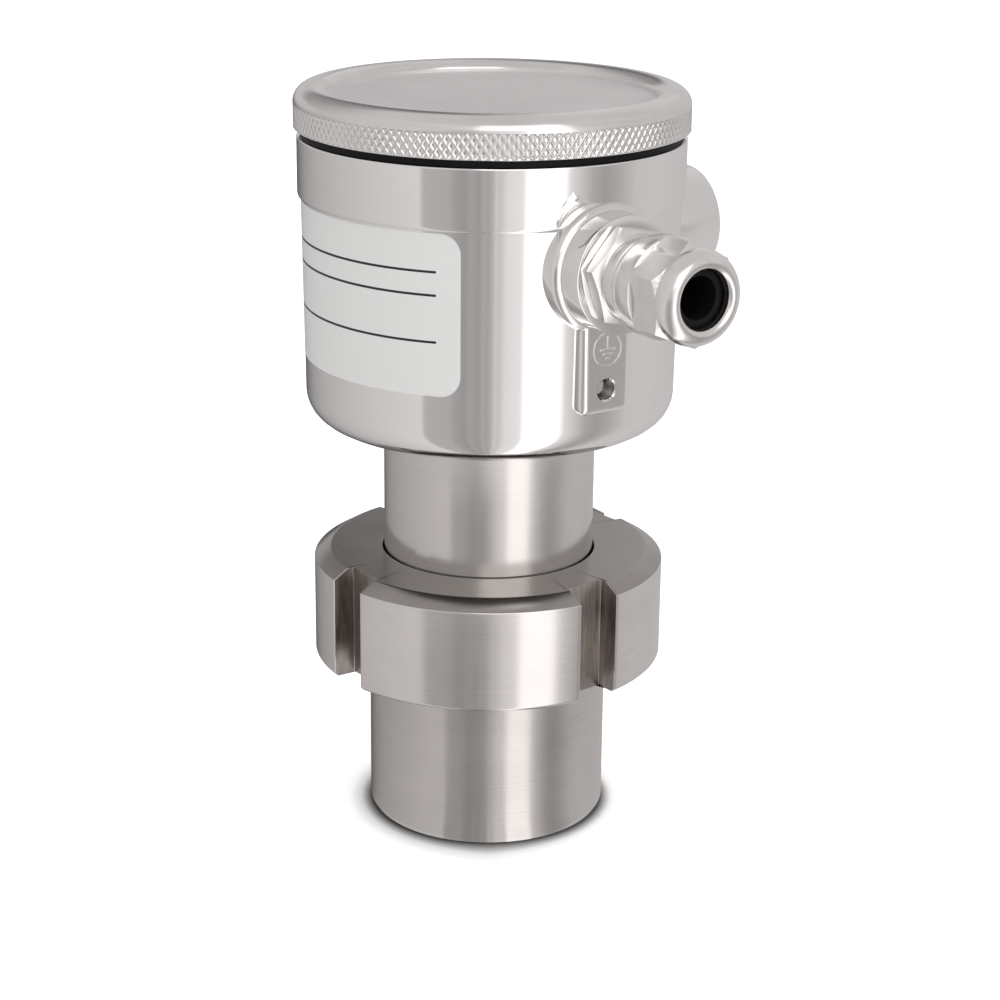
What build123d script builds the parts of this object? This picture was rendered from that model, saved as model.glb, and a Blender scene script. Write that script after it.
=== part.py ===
from build123d import *
import os
from math import cos, radians, sin

# Sanitary pressure transmitter, millimetres, +Z up.
# The origin is the centre of the weld-on nipple's lower end. Azimuths are measured about +Z
# from the -Y side, positive towards +X.

# Clearances
weld_fit = 0.02  # radial gap of welded and pressed rounds
screw_fit = 0.05  # radial play of threads that stay tight
turn_gap = 0.3  # radial play of threads and rounds that move
seal_gap = 0.05  # radial gap of a ring that slides in a bore
cut_margin = 1.0  # how far a cut runs past the face that it opens

# Weld-on nipple
nipple_radius = 31.0
nipple_wall = 7.0
nipple_height = 61.0
nipple_edge_width = 1.0
nipple_edge_height = 1.5
nipple_thread_step = 4.6
nipple_thread_length = 15.0
nipple_thread_chamfer = 1.2

# Sensor body: flush extension, clamped collar and neck
extension_gap = 0.3
extension_wall = 3.0
face_recess = 0.6
collar_thickness = 5.0
collar_play = 1.0
collar_chamfer = 0.6
neck_radius = 27.1
neck_length = 40.8
neck_wall = 3.0
spigot_radius = 16.0
spigot_wall = 4.0
backing_thickness = 13.0
oil_gap = 0.4
oil_hole_radius = 1.0

# Flush diaphragm, cell and lead
diaphragm_radius = 22.3
diaphragm_thickness = 0.25
diaphragm_seat = 1.0
wave_count = 4
wave_height = 0.3
cell_radius = 9.0
cell_height = 10.0
cell_stand = 2.0
ribbon_width = 8.0
ribbon_thickness = 1.0

# Ring in the extension
ring_section = 1.1
ring_height = 8.0

# Union nut
nut_height = 28.8
nut_flange = 5.9
nut_slot_wall = 2.95
nut_slot_depth = 6.4
nut_slot_width = 11.3
nut_slot_azimuth = 38.0
nut_slot_count = 4
nut_neck_gap = 0.45
nut_crown_width = 4.25
nut_crown_height = 2.5
nut_foot_chamfer = 1.0

# Housing pot
pot_radius = 47.4
pot_draft = 0.65  # how far the wall leans out between the foot and the step
pot_foot_fillet = 8.0
pot_wall = 3.4
pot_floor = 3.5
pot_body_height = 56.9
pot_step_height = 2.2
pot_band_step = 0.9
pot_band_height = 13.2

# Gland boss with its keyhole pad
gland_azimuth = 34.3
gland_rise = 47.4  # height of the axis above the pot's underside
gland_boss_radius = 14.2
gland_boss_rise = 6.6  # how far the boss stands out from the pad's face
pad_rise = 2.0  # how far the pad's face stands out from the pot's wall
pad_radius = 16.0
pad_edge = 1.8
tongue_width = 17.0
tongue_length = 35.2
earth_drop = 29.2  # earth hole below the gland's axis
earth_radius = 2.5
earth_depth = 4.4
earth_chamfer = 0.4
earth_plug_radius = 5.0  # round on the tongue's back that gives the hole its depth

# Second boss
side_boss_turn = 90.0
side_boss_rise = 44.3
side_boss_radius = 14.25
side_boss_stand = 15.2  # how far the second boss stands out from the pot's wall
side_boss_edge = 0.4
plug_length = 9.0
plug_recess = 0.6
plug_socket = 10.0
plug_socket_depth = 5.0

# Lid and its ring
lid_ring_height = 1.8
lid_ring_inset = 0.3
lid_step = 0.8
lid_foot_chamfer = 1.1
lid_knurl_height = 6.3
lid_shoulder_width = 4.6
lid_shoulder_height = 4.1
lid_dish_width = 4.0  # width of the rounding between the crest and the dish
lid_dish_depth = 2.9
lid_plate = 3.5
lid_thread_length = 12.0
lid_thread_wall = 3.0

# Label
label_right = -8.5
label_sweep = 91.5
label_height = 39.3
label_drop = 0.2  # top edge below the pot's straight wall
label_thickness = 0.2
label_corner = 5.0
label_corner_cut = 4.0  # depth of the corner cuts, through the label and its draft

# Cable gland
gland_thread_radius = 10.0
gland_thread_length = 12.6
gland_hex_thickness = 4.0
gland_hex_across = 22.0
gland_hex_turn = 48.0
gland_hex_bevel = 0.9
gland_bore = 6.5
gland_collar_radius = 10.2
gland_collar_length = 3.4
gland_groove_depth = 0.6
gland_groove_width = 0.8
gland_ring_radius = 11.0
gland_ring_width = 1.8
gland_nose_thread = 8.0
gland_ring_seal_radius = 10.9
gland_ring_seal_thickness = 1.0
insert_radius = 7.2
insert_bore = 4.9
insert_length = 16.6
insert_edge = 0.5
insert_play = 0.1

# Dome nut
dome_gap = 0.5
dome_radius = 12.35
dome_sleeve_length = 5.0
dome_hex_across = 22.0
dome_hex_turn = 30.0
dome_hex_end = 11.8
dome_cone_end = 14.0
dome_cone_radius = 11.5
dome_length = 19.1
dome_lip = 1.5
dome_mouth = 6.87
dome_thread_depth = 11.0
dome_taper_depth = 16.0
dome_taper_radius = 7.9
dome_throat_depth = 16.8

# Clamping cage in the dome nut
claw_gap = 0.3
claw_radius = 9.9
claw_ring_length = 2.9
claw_tip_radius = 7.9
claw_tip_length = 7.4
claw_slit = 0.9
claw_count = 8

# Electronics
pillar_radius = 3.6
pillar_height = 16.7
pillar_inset = 9.0  # from the pot's inner wall to the pillars' axes
pillar_start = 90.0
pillar_count = 3
board_inset = 3.0
board_thickness = 1.6
cup_inset = 0.5
cup_wall = 2.0
cup_skirt_height = 10.0
cup_fillet = 1.0
deck_thickness = 2.5
part_height = 2.9  # room between the board and the deck
screw_radius = 1.5
screw_grip = 10.0
screw_head_radius = 2.8
screw_head_height = 2.0
screw_slot_width = 0.8
earth_pillar_inset = 11.0
earth_pillar_radius = 4.0
earth_pillar_stand = 2.0
earth_screw_radius = 2.0
earth_screw_grip = 6.0
earth_head_radius = 3.5
earth_head_height = 2.6

# Terminal block
terminal_count = 3
terminal_pitch = 9.0
terminal_margin = 6.0
terminal_depth = 13.0
terminal_stand = 13.0
terminal_y = 12.0
terminal_edge = 0.6
cell_width = 6.0
cell_room = 7.6
cell_floor = 2.5  # floor of a terminal cell above the deck
cell_depth = 10.0
cage_width = 5.4
cage_length = 7.0
cage_tall = 5.4
cage_wall = 0.8
cage_top = 1.2
terminal_screw_radius = 1.3
terminal_screw_length = 5.0
terminal_head_radius = 2.3
terminal_head_height = 2.0

# Trimmers
trimmer_names = ["zero", "span", "damping"]
trimmer_pitch = 13.0
trimmer_y = -15.0
trimmer_case_radius = 4.2
trimmer_rotor_radius = 2.4
trimmer_pocket = 2.0
trimmer_stand = 1.0
trimmer_slot_width = 0.7
trimmer_slot_depth = 0.8

# Values worked out from the sizes above
nipple_bore = nipple_radius - nipple_wall
nipple_thread_radius = nipple_radius + nipple_thread_step
nut_thread_radius = nipple_thread_radius + turn_gap
nut_radius = nut_thread_radius + nut_slot_wall + nut_slot_depth
collar_radius = nut_thread_radius - collar_play
extension_radius = nipple_bore - extension_gap
collar_top = nipple_height + collar_thickness
nut_top = collar_top + nut_flange
nut_bottom = nut_top - nut_height
neck_top = collar_top + neck_length
pot_bottom = neck_top
floor_top = pot_bottom + pot_floor
step_bottom = pot_bottom + pot_body_height
band_bottom = step_bottom + pot_step_height
pot_top = band_bottom + pot_band_height
band_radius = pot_radius + pot_band_step
cavity_radius = pot_radius - pot_wall
pot_foot_radius = pot_radius - pot_draft
side_boss_reach = pot_radius + side_boss_stand
pillar_circle = cavity_radius - pillar_inset
earth_pillar_x = cavity_radius - earth_pillar_inset
board_radius = cavity_radius - board_inset
cup_radius = cavity_radius - cup_inset
gland_z = pot_bottom + gland_rise
side_boss_z = pot_bottom + side_boss_rise
side_boss_azimuth = gland_azimuth + side_boss_turn
board_bottom = floor_top + pillar_height
board_top = board_bottom + board_thickness
deck_bottom = board_top + part_height
deck_top = deck_bottom + deck_thickness
lid_bottom = pot_top + lid_ring_height
lid_radius = band_radius + lid_step
earth_screw_top = deck_top + earth_pillar_stand
earth_z = gland_z - earth_drop
pad_reach = pot_radius + pad_rise
gland_boss_reach = pad_reach + gland_boss_rise
pad_back = cavity_radius - pad_edge  # inside the wall, where the pad's blank starts
way_start = cavity_radius / 2  # well inside the cavity, where the side ways start


def outward(azimuth):
    """Unit vector that points away from the axis at an azimuth."""
    return Vector(sin(radians(azimuth)), -cos(radians(azimuth)), 0)


def sideways(azimuth):
    """Unit vector square to the outward one, level."""
    return Vector(cos(radians(azimuth)), sin(radians(azimuth)), 0)


def face_plane(azimuth, height, reach):
    """Plane square to a side axis: x runs sideways, y up, z outwards."""
    origin = outward(azimuth) * reach + Vector(0, 0, height)
    return Plane(origin=origin, x_dir=sideways(azimuth), z_dir=outward(azimuth))


def profile_plane(azimuth, height):
    """Plane through a side axis: x runs outwards along it, y up."""
    return Plane(origin=(0, 0, height), x_dir=outward(azimuth), z_dir=sideways(azimuth) * -1)


def side_axis(azimuth, height):
    return Axis((0, 0, height), outward(azimuth))


os.makedirs("parts", exist_ok=True)


def write(piece, label):
    piece.part.label = label
    export_step(piece.part, f"parts/{label}.step")


def pot_section(gap):
    """Half section of the pot's outside: drafted wall, rounded foot, proud band with a rounded step."""
    foot = pot_foot_radius + gap
    wall = pot_radius + gap
    band = band_radius + gap
    with BuildSketch(Plane.XZ) as section:
        with BuildLine():
            Line((0, pot_bottom), (foot - pot_foot_fillet, pot_bottom))
            RadiusArc(
                (foot - pot_foot_fillet, pot_bottom),
                (foot, pot_bottom + pot_foot_fillet),
                -pot_foot_fillet,
            )
            Line((foot, pot_bottom + pot_foot_fillet), (wall, step_bottom))
            EllipticalCenterArc(
                (wall, band_bottom),
                pot_band_step,
                pot_step_height,
                start_angle=270,
                arc_size=90,
            )
            Polyline((band, band_bottom), (band, pot_top), (0, pot_top), (0, pot_bottom))
        make_face()
    return section.sketch


# Weld-on nipple: a turned tube with a thicker threaded end that the nut grips
with BuildPart() as weld_nipple:
    thread_foot = nipple_height - nipple_thread_length
    with BuildSketch(Plane.XZ):
        with BuildLine():
            Polyline(
                (nipple_bore, 0),
                (nipple_radius - nipple_edge_width, 0),
                (nipple_radius, nipple_edge_height),
                (nipple_radius, thread_foot),
                (nipple_thread_radius - nipple_thread_chamfer, thread_foot),
                (nipple_thread_radius, thread_foot + nipple_thread_chamfer),
                (nipple_thread_radius, nipple_height - nipple_thread_chamfer),
                (nipple_thread_radius - nipple_thread_chamfer, nipple_height),
                (nipple_bore, nipple_height),
                close=True,
            )
        make_face()
    revolve(axis=Axis.Z)
write(weld_nipple, "weld_nipple")

# Sensor body: the outside is one turned form from the flush end up to the spigot in the pot
face_bottom = face_recess
backing_bottom = face_bottom + diaphragm_thickness
backing_top = backing_bottom + backing_thickness
spigot_top = floor_top
ring_radius = nipple_bore - seal_gap - ring_section
groove_floor = ring_radius - ring_section - weld_fit
groove_half = ring_section + screw_fit
with BuildPart() as sensor_body:
    with BuildSketch(Plane.XZ):
        with BuildLine():
            Polyline(
                (0, face_bottom),
                (extension_radius, face_bottom),
                (extension_radius, ring_height - groove_half),
                (groove_floor, ring_height - groove_half),
                (groove_floor, ring_height + groove_half),
                (extension_radius, ring_height + groove_half),
                (extension_radius, nipple_height),
                (collar_radius, nipple_height),
                (collar_radius, collar_top - collar_chamfer),
                (collar_radius - collar_chamfer, collar_top),
                (neck_radius, collar_top),
                (neck_radius, neck_top),
                (spigot_radius, neck_top),
                (spigot_radius, spigot_top),
                (0, spigot_top),
                close=True,
            )
        make_face()
    revolve(axis=Axis.Z)
    # Hollow from the backing block up through the spigot
    with BuildSketch(Plane.XZ):
        with BuildLine():
            Polyline(
                (0, backing_top),
                (extension_radius - extension_wall, backing_top),
                (extension_radius - extension_wall, nipple_height),
                (neck_radius - neck_wall, collar_top),
                (neck_radius - neck_wall, neck_top - neck_wall),
                (spigot_radius - spigot_wall, neck_top - neck_wall),
                (spigot_radius - spigot_wall, spigot_top),
                (0, spigot_top),
                close=True,
            )
        make_face()
    revolve(axis=Axis.Z, mode=Mode.SUBTRACT)
    # Seat of the diaphragm, oil space, oil hole and pocket of the cell
    with BuildSketch(Plane.XY.offset(face_bottom)):
        Circle(diaphragm_radius + weld_fit)
    extrude(amount=diaphragm_thickness, mode=Mode.SUBTRACT)
    with BuildSketch(Plane.XY.offset(backing_bottom)):
        Circle(diaphragm_radius - diaphragm_seat)
    extrude(amount=oil_gap + wave_height, mode=Mode.SUBTRACT)
    with BuildSketch(Plane.XY.offset(backing_bottom)):
        Circle(oil_hole_radius)
    extrude(amount=backing_thickness, mode=Mode.SUBTRACT)
    with BuildSketch(Plane.XY.offset(backing_top)):
        Circle(cell_radius + weld_fit)
    extrude(amount=-(cell_height - cell_stand), mode=Mode.SUBTRACT)
write(sensor_body, "sensor_body")

# Diaphragm: thin plate with rounded waves between a flat rim and a flat middle
wave_room = diaphragm_radius - 2 * diaphragm_seat
wave_pitch = wave_room / (wave_count + 1)
with BuildPart() as diaphragm:
    with BuildSketch(Plane.XY.offset(face_bottom)):
        Circle(diaphragm_radius)
    extrude(amount=diaphragm_thickness)
    for wave in range(wave_count):
        crest = wave_pitch * (wave + 1)
        with BuildSketch(Plane.XZ):
            with BuildLine():
                ThreePointArc(
                    (crest - wave_pitch / 4, backing_bottom),
                    (crest, backing_bottom + wave_height),
                    (crest + wave_pitch / 4, backing_bottom),
                )
                Line((crest + wave_pitch / 4, backing_bottom), (crest - wave_pitch / 4, backing_bottom))
            make_face()
        revolve(axis=Axis.Z)
        with BuildSketch(Plane.XZ):
            with BuildLine():
                ThreePointArc(
                    (crest - wave_pitch / 4, face_bottom),
                    (crest, face_bottom + wave_height),
                    (crest + wave_pitch / 4, face_bottom),
                )
                Line((crest + wave_pitch / 4, face_bottom), (crest - wave_pitch / 4, face_bottom))
            make_face()
        revolve(axis=Axis.Z, mode=Mode.SUBTRACT)
write(diaphragm, "diaphragm")

# Measuring cell with a stepped top
cell_bottom = backing_top - (cell_height - cell_stand)
cell_top = cell_bottom + cell_height
with BuildPart() as pressure_cell:
    with BuildSketch(Plane.XY.offset(cell_bottom)):
        Circle(cell_radius)
    extrude(amount=cell_height)
    chamfer(pressure_cell.faces().sort_by(Axis.Z)[-1].edges(), cell_stand / 2)
write(pressure_cell, "pressure_cell")

# Flat lead from the cell up to the underside of the board
with BuildPart() as sensor_ribbon:
    with BuildSketch(Plane.XY.offset(cell_top)):
        Rectangle(ribbon_width, ribbon_thickness)
    extrude(amount=board_bottom - cell_top)
write(sensor_ribbon, "sensor_ribbon")

# Rubber ring in the extension's groove
with BuildPart() as sensor_o_ring:
    with BuildSketch(Plane.XZ):
        with Locations((ring_radius, ring_height)):
            Circle(ring_section)
    revolve(axis=Axis.Z)
write(sensor_o_ring, "sensor_o_ring")

# Union nut: shoulder over the collar, thread over the nipple, four spanner slots
shoulder_bore = neck_radius + nut_neck_gap
with BuildPart() as union_nut:
    with BuildSketch(Plane.XZ):
        with BuildLine():
            Polyline(
                (shoulder_bore, collar_top),
                (shoulder_bore, nut_top),
                (nut_radius - nut_crown_width, nut_top),
                (nut_radius, nut_top - nut_crown_height),
                (nut_radius, nut_bottom + nut_foot_chamfer),
                (nut_radius - nut_foot_chamfer, nut_bottom),
                (nut_thread_radius + nut_foot_chamfer, nut_bottom),
                (nut_thread_radius, nut_bottom + nut_foot_chamfer),
                (nut_thread_radius, collar_top),
                close=True,
            )
        make_face()
    revolve(axis=Axis.Z)
    slot_floor = nut_thread_radius + nut_slot_wall
    for slot in range(nut_slot_count):
        azimuth = nut_slot_azimuth + slot * 360 / nut_slot_count
        with BuildSketch(face_plane(azimuth, (nut_top + nut_bottom) / 2, slot_floor)):
            Rectangle(nut_slot_width, nut_height + nut_foot_chamfer)
        extrude(amount=nut_slot_depth + nut_foot_chamfer, mode=Mode.SUBTRACT)
write(union_nut, "union_nut")

# Housing pot: a thin shell with holes for what is welded into its wall
inner_fillet = pot_foot_fillet - pot_wall
with BuildPart() as housing:
    revolve(pot_section(0), axis=Axis.Z)
    # Inside of the pot
    with BuildSketch(Plane.XZ):
        with BuildLine():
            Line((0, floor_top), (cavity_radius - inner_fillet, floor_top))
            RadiusArc(
                (cavity_radius - inner_fillet, floor_top),
                (cavity_radius, floor_top + inner_fillet),
                -inner_fillet,
            )
            Polyline(
                (cavity_radius, floor_top + inner_fillet),
                (cavity_radius, pot_top),
                (0, pot_top),
                (0, floor_top),
            )
        make_face()
    revolve(axis=Axis.Z, mode=Mode.SUBTRACT)
    # Holes for both bosses and for the plug of the earth tongue
    for azimuth, height, radius in (
        (gland_azimuth, gland_z, gland_boss_radius),
        (side_boss_azimuth, side_boss_z, side_boss_radius),
        (gland_azimuth, earth_z, earth_plug_radius),
    ):
        with BuildSketch(face_plane(azimuth, height, way_start)):
            Circle(radius + weld_fit)
        extrude(amount=band_radius - way_start, mode=Mode.SUBTRACT)
    # Hole for the neck's spigot
    with BuildSketch(Plane.XY.offset(pot_bottom)):
        Circle(spigot_radius + weld_fit)
    extrude(amount=pot_floor, mode=Mode.SUBTRACT)
write(housing, "housing")

# Three tapped pillars that stand on the pot's floor and carry the electronics
with BuildPart() as module_pillars:
    with BuildSketch(Plane.XY.offset(floor_top)):
        with PolarLocations(pillar_circle, pillar_count, start_angle=pillar_start):
            Circle(pillar_radius)
    extrude(amount=pillar_height)
    with BuildSketch(Plane.XY.offset(board_bottom)):
        with PolarLocations(pillar_circle, pillar_count, start_angle=pillar_start):
            Circle(screw_radius + screw_fit)
    extrude(amount=-(screw_grip + screw_radius), mode=Mode.SUBTRACT)
write(module_pillars, "module_pillars")

# A taller pillar for the inner earth screw
with BuildPart() as earth_pillar:
    with BuildSketch(Plane.XY.offset(floor_top)):
        with Locations((earth_pillar_x, 0)):
            Circle(earth_pillar_radius)
    extrude(amount=earth_screw_top - floor_top)
    with BuildSketch(Plane.XY.offset(earth_screw_top)):
        with Locations((earth_pillar_x, 0)):
            Circle(earth_screw_radius + screw_fit)
    extrude(amount=-(earth_screw_grip + earth_screw_radius), mode=Mode.SUBTRACT)
write(earth_pillar, "earth_pillar")

# Keyhole pad, the blank of the next two pieces: a round with a tongue, fitted to the pot
with BuildPart() as keyhole_pad:
    with BuildSketch(face_plane(gland_azimuth, gland_z, pad_reach)):
        Circle(pad_radius)
        with Locations((0, -tongue_length / 2)):
            Rectangle(tongue_width, tongue_length)
    extrude(amount=-(pad_reach - pad_back))
    pad_face = keyhole_pad.faces().sort_by(side_axis(gland_azimuth, gland_z))[-1]
    fillet(pad_face.edges(), pad_edge)
    revolve(pot_section(weld_fit), axis=Axis.Z, mode=Mode.SUBTRACT)

# Gland boss: the pad's round with a tube through the wall and the gland's threaded way
with BuildPart() as gland_boss:
    add(keyhole_pad.part)
    with BuildSketch(face_plane(gland_azimuth, gland_z, pad_reach)):
        Circle(pad_radius)
    extrude(amount=-(pad_reach - pad_back), mode=Mode.INTERSECT)
    with BuildSketch(face_plane(gland_azimuth, gland_z, gland_boss_reach)):
        Circle(gland_boss_radius)
    extrude(amount=-(gland_boss_reach - way_start))
    with BuildSketch(Plane.XY.offset(floor_top)):
        Circle(cavity_radius)
    extrude(amount=pot_top - floor_top, mode=Mode.SUBTRACT)
    with BuildSketch(face_plane(gland_azimuth, gland_z, gland_boss_reach)):
        Circle(gland_thread_radius + screw_fit)
    extrude(amount=-(gland_boss_reach - way_start), mode=Mode.SUBTRACT)
    # Recess of the gland's ring
    with BuildSketch(face_plane(gland_azimuth, gland_z, gland_boss_reach)):
        Circle(gland_ring_seal_radius + weld_fit)
    extrude(amount=-gland_ring_seal_thickness, mode=Mode.SUBTRACT)
write(gland_boss, "gland_boss")

# Earth tongue: the pad's lower end, with a plug in the wall and a blind countersunk hole
with BuildPart() as earth_tongue:
    add(keyhole_pad.part)
    with BuildSketch(face_plane(gland_azimuth, gland_z, pad_reach)):
        Circle(pad_radius + weld_fit)
    extrude(amount=-(pad_reach - pad_back), mode=Mode.SUBTRACT)
    with BuildSketch(face_plane(gland_azimuth, earth_z, pad_reach - pad_edge)):
        Circle(earth_plug_radius)
    extrude(amount=-(pad_reach - pad_edge - way_start))
    with BuildSketch(Plane.XY.offset(floor_top)):
        Circle(cavity_radius)
    extrude(amount=pot_top - floor_top, mode=Mode.SUBTRACT)
    with BuildSketch(face_plane(gland_azimuth, earth_z, pad_reach)):
        Circle(earth_radius)
    extrude(amount=-earth_depth, mode=Mode.SUBTRACT)
    with BuildSketch(face_plane(gland_azimuth, earth_z, pad_reach)):
        Circle(earth_radius + earth_chamfer)
    extrude(amount=-earth_chamfer, taper=45, mode=Mode.SUBTRACT)
write(earth_tongue, "earth_tongue")

# Second boss: a plain threaded tube through the wall
with BuildPart() as side_boss:
    with BuildSketch(face_plane(side_boss_azimuth, side_boss_z, side_boss_reach)):
        Circle(side_boss_radius)
    extrude(amount=-(side_boss_reach - way_start))
    boss_face = side_boss.faces().sort_by(side_axis(side_boss_azimuth, side_boss_z))[-1]
    fillet(boss_face.edges(), side_boss_edge)
    with BuildSketch(Plane.XY.offset(floor_top)):
        Circle(cavity_radius)
    extrude(amount=pot_top - floor_top, mode=Mode.SUBTRACT)
    with BuildSketch(face_plane(side_boss_azimuth, side_boss_z, side_boss_reach)):
        Circle(gland_thread_radius + screw_fit)
    extrude(amount=-(side_boss_reach - way_start), mode=Mode.SUBTRACT)
write(side_boss, "side_boss")

# Socket plug that closes the second boss
with BuildPart() as blind_plug:
    with BuildSketch(face_plane(side_boss_azimuth, side_boss_z, side_boss_reach - plug_recess)):
        Circle(gland_thread_radius)
    extrude(amount=-plug_length)
    with BuildSketch(face_plane(side_boss_azimuth, side_boss_z, side_boss_reach - plug_recess)):
        RegularPolygon(plug_socket / 2, 6, major_radius=False)
    extrude(amount=-plug_socket_depth, mode=Mode.SUBTRACT)
write(blind_plug, "blind_plug")

# Ring between the pot and the lid
lid_thread_radius = cavity_radius - turn_gap
with BuildPart() as lid_seal:
    with BuildSketch(Plane.XY.offset(pot_top)):
        Circle(band_radius - lid_ring_inset)
        Circle(lid_thread_radius + turn_gap, mode=Mode.SUBTRACT)
    extrude(amount=lid_ring_height)
write(lid_seal, "lid_seal")

# Lid: grip band, rounded shoulder and dished top, with a threaded skirt below
shoulder_foot = lid_bottom + lid_knurl_height
crest_radius = lid_radius - lid_shoulder_width
lid_dish_radius = crest_radius - lid_dish_width
crest_z = shoulder_foot + lid_shoulder_height
dish_z = crest_z - lid_dish_depth
plate_z = dish_z - lid_plate
skirt_bottom = lid_bottom - lid_thread_length
skirt_inner = lid_thread_radius - lid_thread_wall
with BuildPart() as lid:
    with BuildSketch(Plane.XZ):
        with BuildLine():
            Polyline(
                (0, plate_z),
                (skirt_inner, plate_z),
                (skirt_inner, skirt_bottom),
                (lid_thread_radius, skirt_bottom),
                (lid_thread_radius, lid_bottom),
                (lid_radius - lid_foot_chamfer, lid_bottom),
                (lid_radius, lid_bottom + lid_foot_chamfer),
                (lid_radius, shoulder_foot),
            )
            EllipticalCenterArc(
                (crest_radius, shoulder_foot),
                lid_shoulder_width,
                lid_shoulder_height,
                start_angle=0,
                arc_size=90,
            )
            EllipticalCenterArc(
                (crest_radius, dish_z),
                crest_radius - lid_dish_radius,
                lid_dish_depth,
                start_angle=90,
                arc_size=90,
            )
            Polyline((lid_dish_radius, dish_z), (0, dish_z), (0, plate_z))
        make_face()
    revolve(axis=Axis.Z)
write(lid, "lid")

# Label: a thin rounded plate that follows the drafted wall
label_top = step_bottom - label_drop
label_bottom = label_top - label_height
draft_slope = (pot_radius - pot_foot_radius) / (step_bottom - pot_bottom - pot_foot_fillet)
label_top_radius = pot_radius - draft_slope * (step_bottom - label_top) + weld_fit
label_bottom_radius = pot_radius - draft_slope * (step_bottom - label_bottom) + weld_fit
label_start = Plane(origin=(0, 0, 0), x_dir=outward(label_right), z_dir=sideways(label_right) * -1)
with BuildPart() as label:
    with BuildSketch(label_start):
        with BuildLine():
            Polyline(
                (label_bottom_radius, label_bottom),
                (label_bottom_radius + label_thickness, label_bottom),
                (label_top_radius + label_thickness, label_top),
                (label_top_radius, label_top),
                close=True,
            )
        make_face()
    revolve(axis=Axis((0, 0, 0), (0, 0, -1)), revolution_arc=label_sweep)
    # Round the four corners: each end is cut from its own outside
    for end, inward in ((label_right, -1), (label_right - label_sweep, 1)):
        with BuildSketch(face_plane(end, 0, label_top_radius + cut_margin)):
            for level, upward in ((label_top, -1), (label_bottom, 1)):
                middle = (label_corner - cut_margin) / 2
                with Locations((inward * middle, level + upward * middle)):
                    Rectangle(label_corner + cut_margin, label_corner + cut_margin)
                with Locations((inward * label_corner, level + upward * label_corner)):
                    Circle(label_corner, mode=Mode.SUBTRACT)
        extrude(amount=-label_corner_cut, mode=Mode.SUBTRACT)
write(label, "label")

# Gland body: hexagon with turned bevels, collar with a ring, threads and cable way
hex_start = gland_boss_reach
hex_end = hex_start + gland_hex_thickness
collar_end = hex_end + gland_collar_length
groove_end = collar_end + gland_groove_width
ring_end = groove_end + gland_ring_width
nose_end = ring_end + gland_nose_thread
hex_corner = gland_hex_across / 2 / cos(radians(30))
bevel_radius = gland_hex_across / 2 - gland_hex_bevel / 2
with BuildPart() as gland_body:
    with BuildSketch(face_plane(gland_azimuth, gland_z, hex_start)):
        RegularPolygon(gland_hex_across / 2, 6, major_radius=False, rotation=gland_hex_turn)
    extrude(amount=gland_hex_thickness)
    with BuildSketch(profile_plane(gland_azimuth, gland_z)):
        with BuildLine():
            Polyline(
                (hex_start, 0),
                (hex_start, bevel_radius),
                (hex_start + gland_hex_bevel, hex_corner),
                (hex_end - gland_hex_bevel, hex_corner),
                (hex_end, bevel_radius),
                (hex_end, 0),
                close=True,
            )
        make_face()
    revolve(axis=side_axis(gland_azimuth, gland_z), mode=Mode.INTERSECT)
    with BuildSketch(profile_plane(gland_azimuth, gland_z)):
        with BuildLine():
            Polyline(
                (hex_start - gland_thread_length, gland_bore),
                (hex_start - gland_thread_length, gland_thread_radius),
                (hex_end, gland_thread_radius),
                (hex_end, gland_collar_radius),
                (collar_end, gland_collar_radius),
                (collar_end, gland_collar_radius - gland_groove_depth),
                (groove_end, gland_collar_radius - gland_groove_depth),
                (groove_end, gland_ring_radius),
                (ring_end, gland_ring_radius),
                (ring_end, gland_thread_radius),
                (nose_end, gland_thread_radius),
                (nose_end, gland_bore),
                close=True,
            )
        make_face()
    revolve(axis=side_axis(gland_azimuth, gland_z))
    with BuildSketch(face_plane(gland_azimuth, gland_z, hex_start)):
        Circle(gland_bore)
    extrude(amount=gland_hex_thickness, mode=Mode.SUBTRACT)
    with BuildSketch(face_plane(gland_azimuth, gland_z, ring_end)):
        Circle(insert_radius + insert_play)
    extrude(amount=gland_nose_thread, mode=Mode.SUBTRACT)
write(gland_body, "gland_body")

# Flat ring under the gland's hexagon
with BuildPart() as gland_seal:
    with BuildSketch(face_plane(gland_azimuth, gland_z, gland_boss_reach)):
        Circle(gland_ring_seal_radius)
        Circle(gland_thread_radius + screw_fit, mode=Mode.SUBTRACT)
    extrude(amount=-gland_ring_seal_thickness)
write(gland_seal, "gland_seal")

# Rubber insert that grips the cable
with BuildPart() as gland_insert:
    with BuildSketch(face_plane(gland_azimuth, gland_z, ring_end)):
        Circle(insert_radius)
        Circle(insert_bore, mode=Mode.SUBTRACT)
    extrude(amount=insert_length)
    front_rim = gland_insert.edges().filter_by(GeomType.CIRCLE).sort_by(
        side_axis(gland_azimuth, gland_z)
    )[-2:]
    chamfer(front_rim, insert_edge)
write(gland_insert, "gland_insert")

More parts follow.
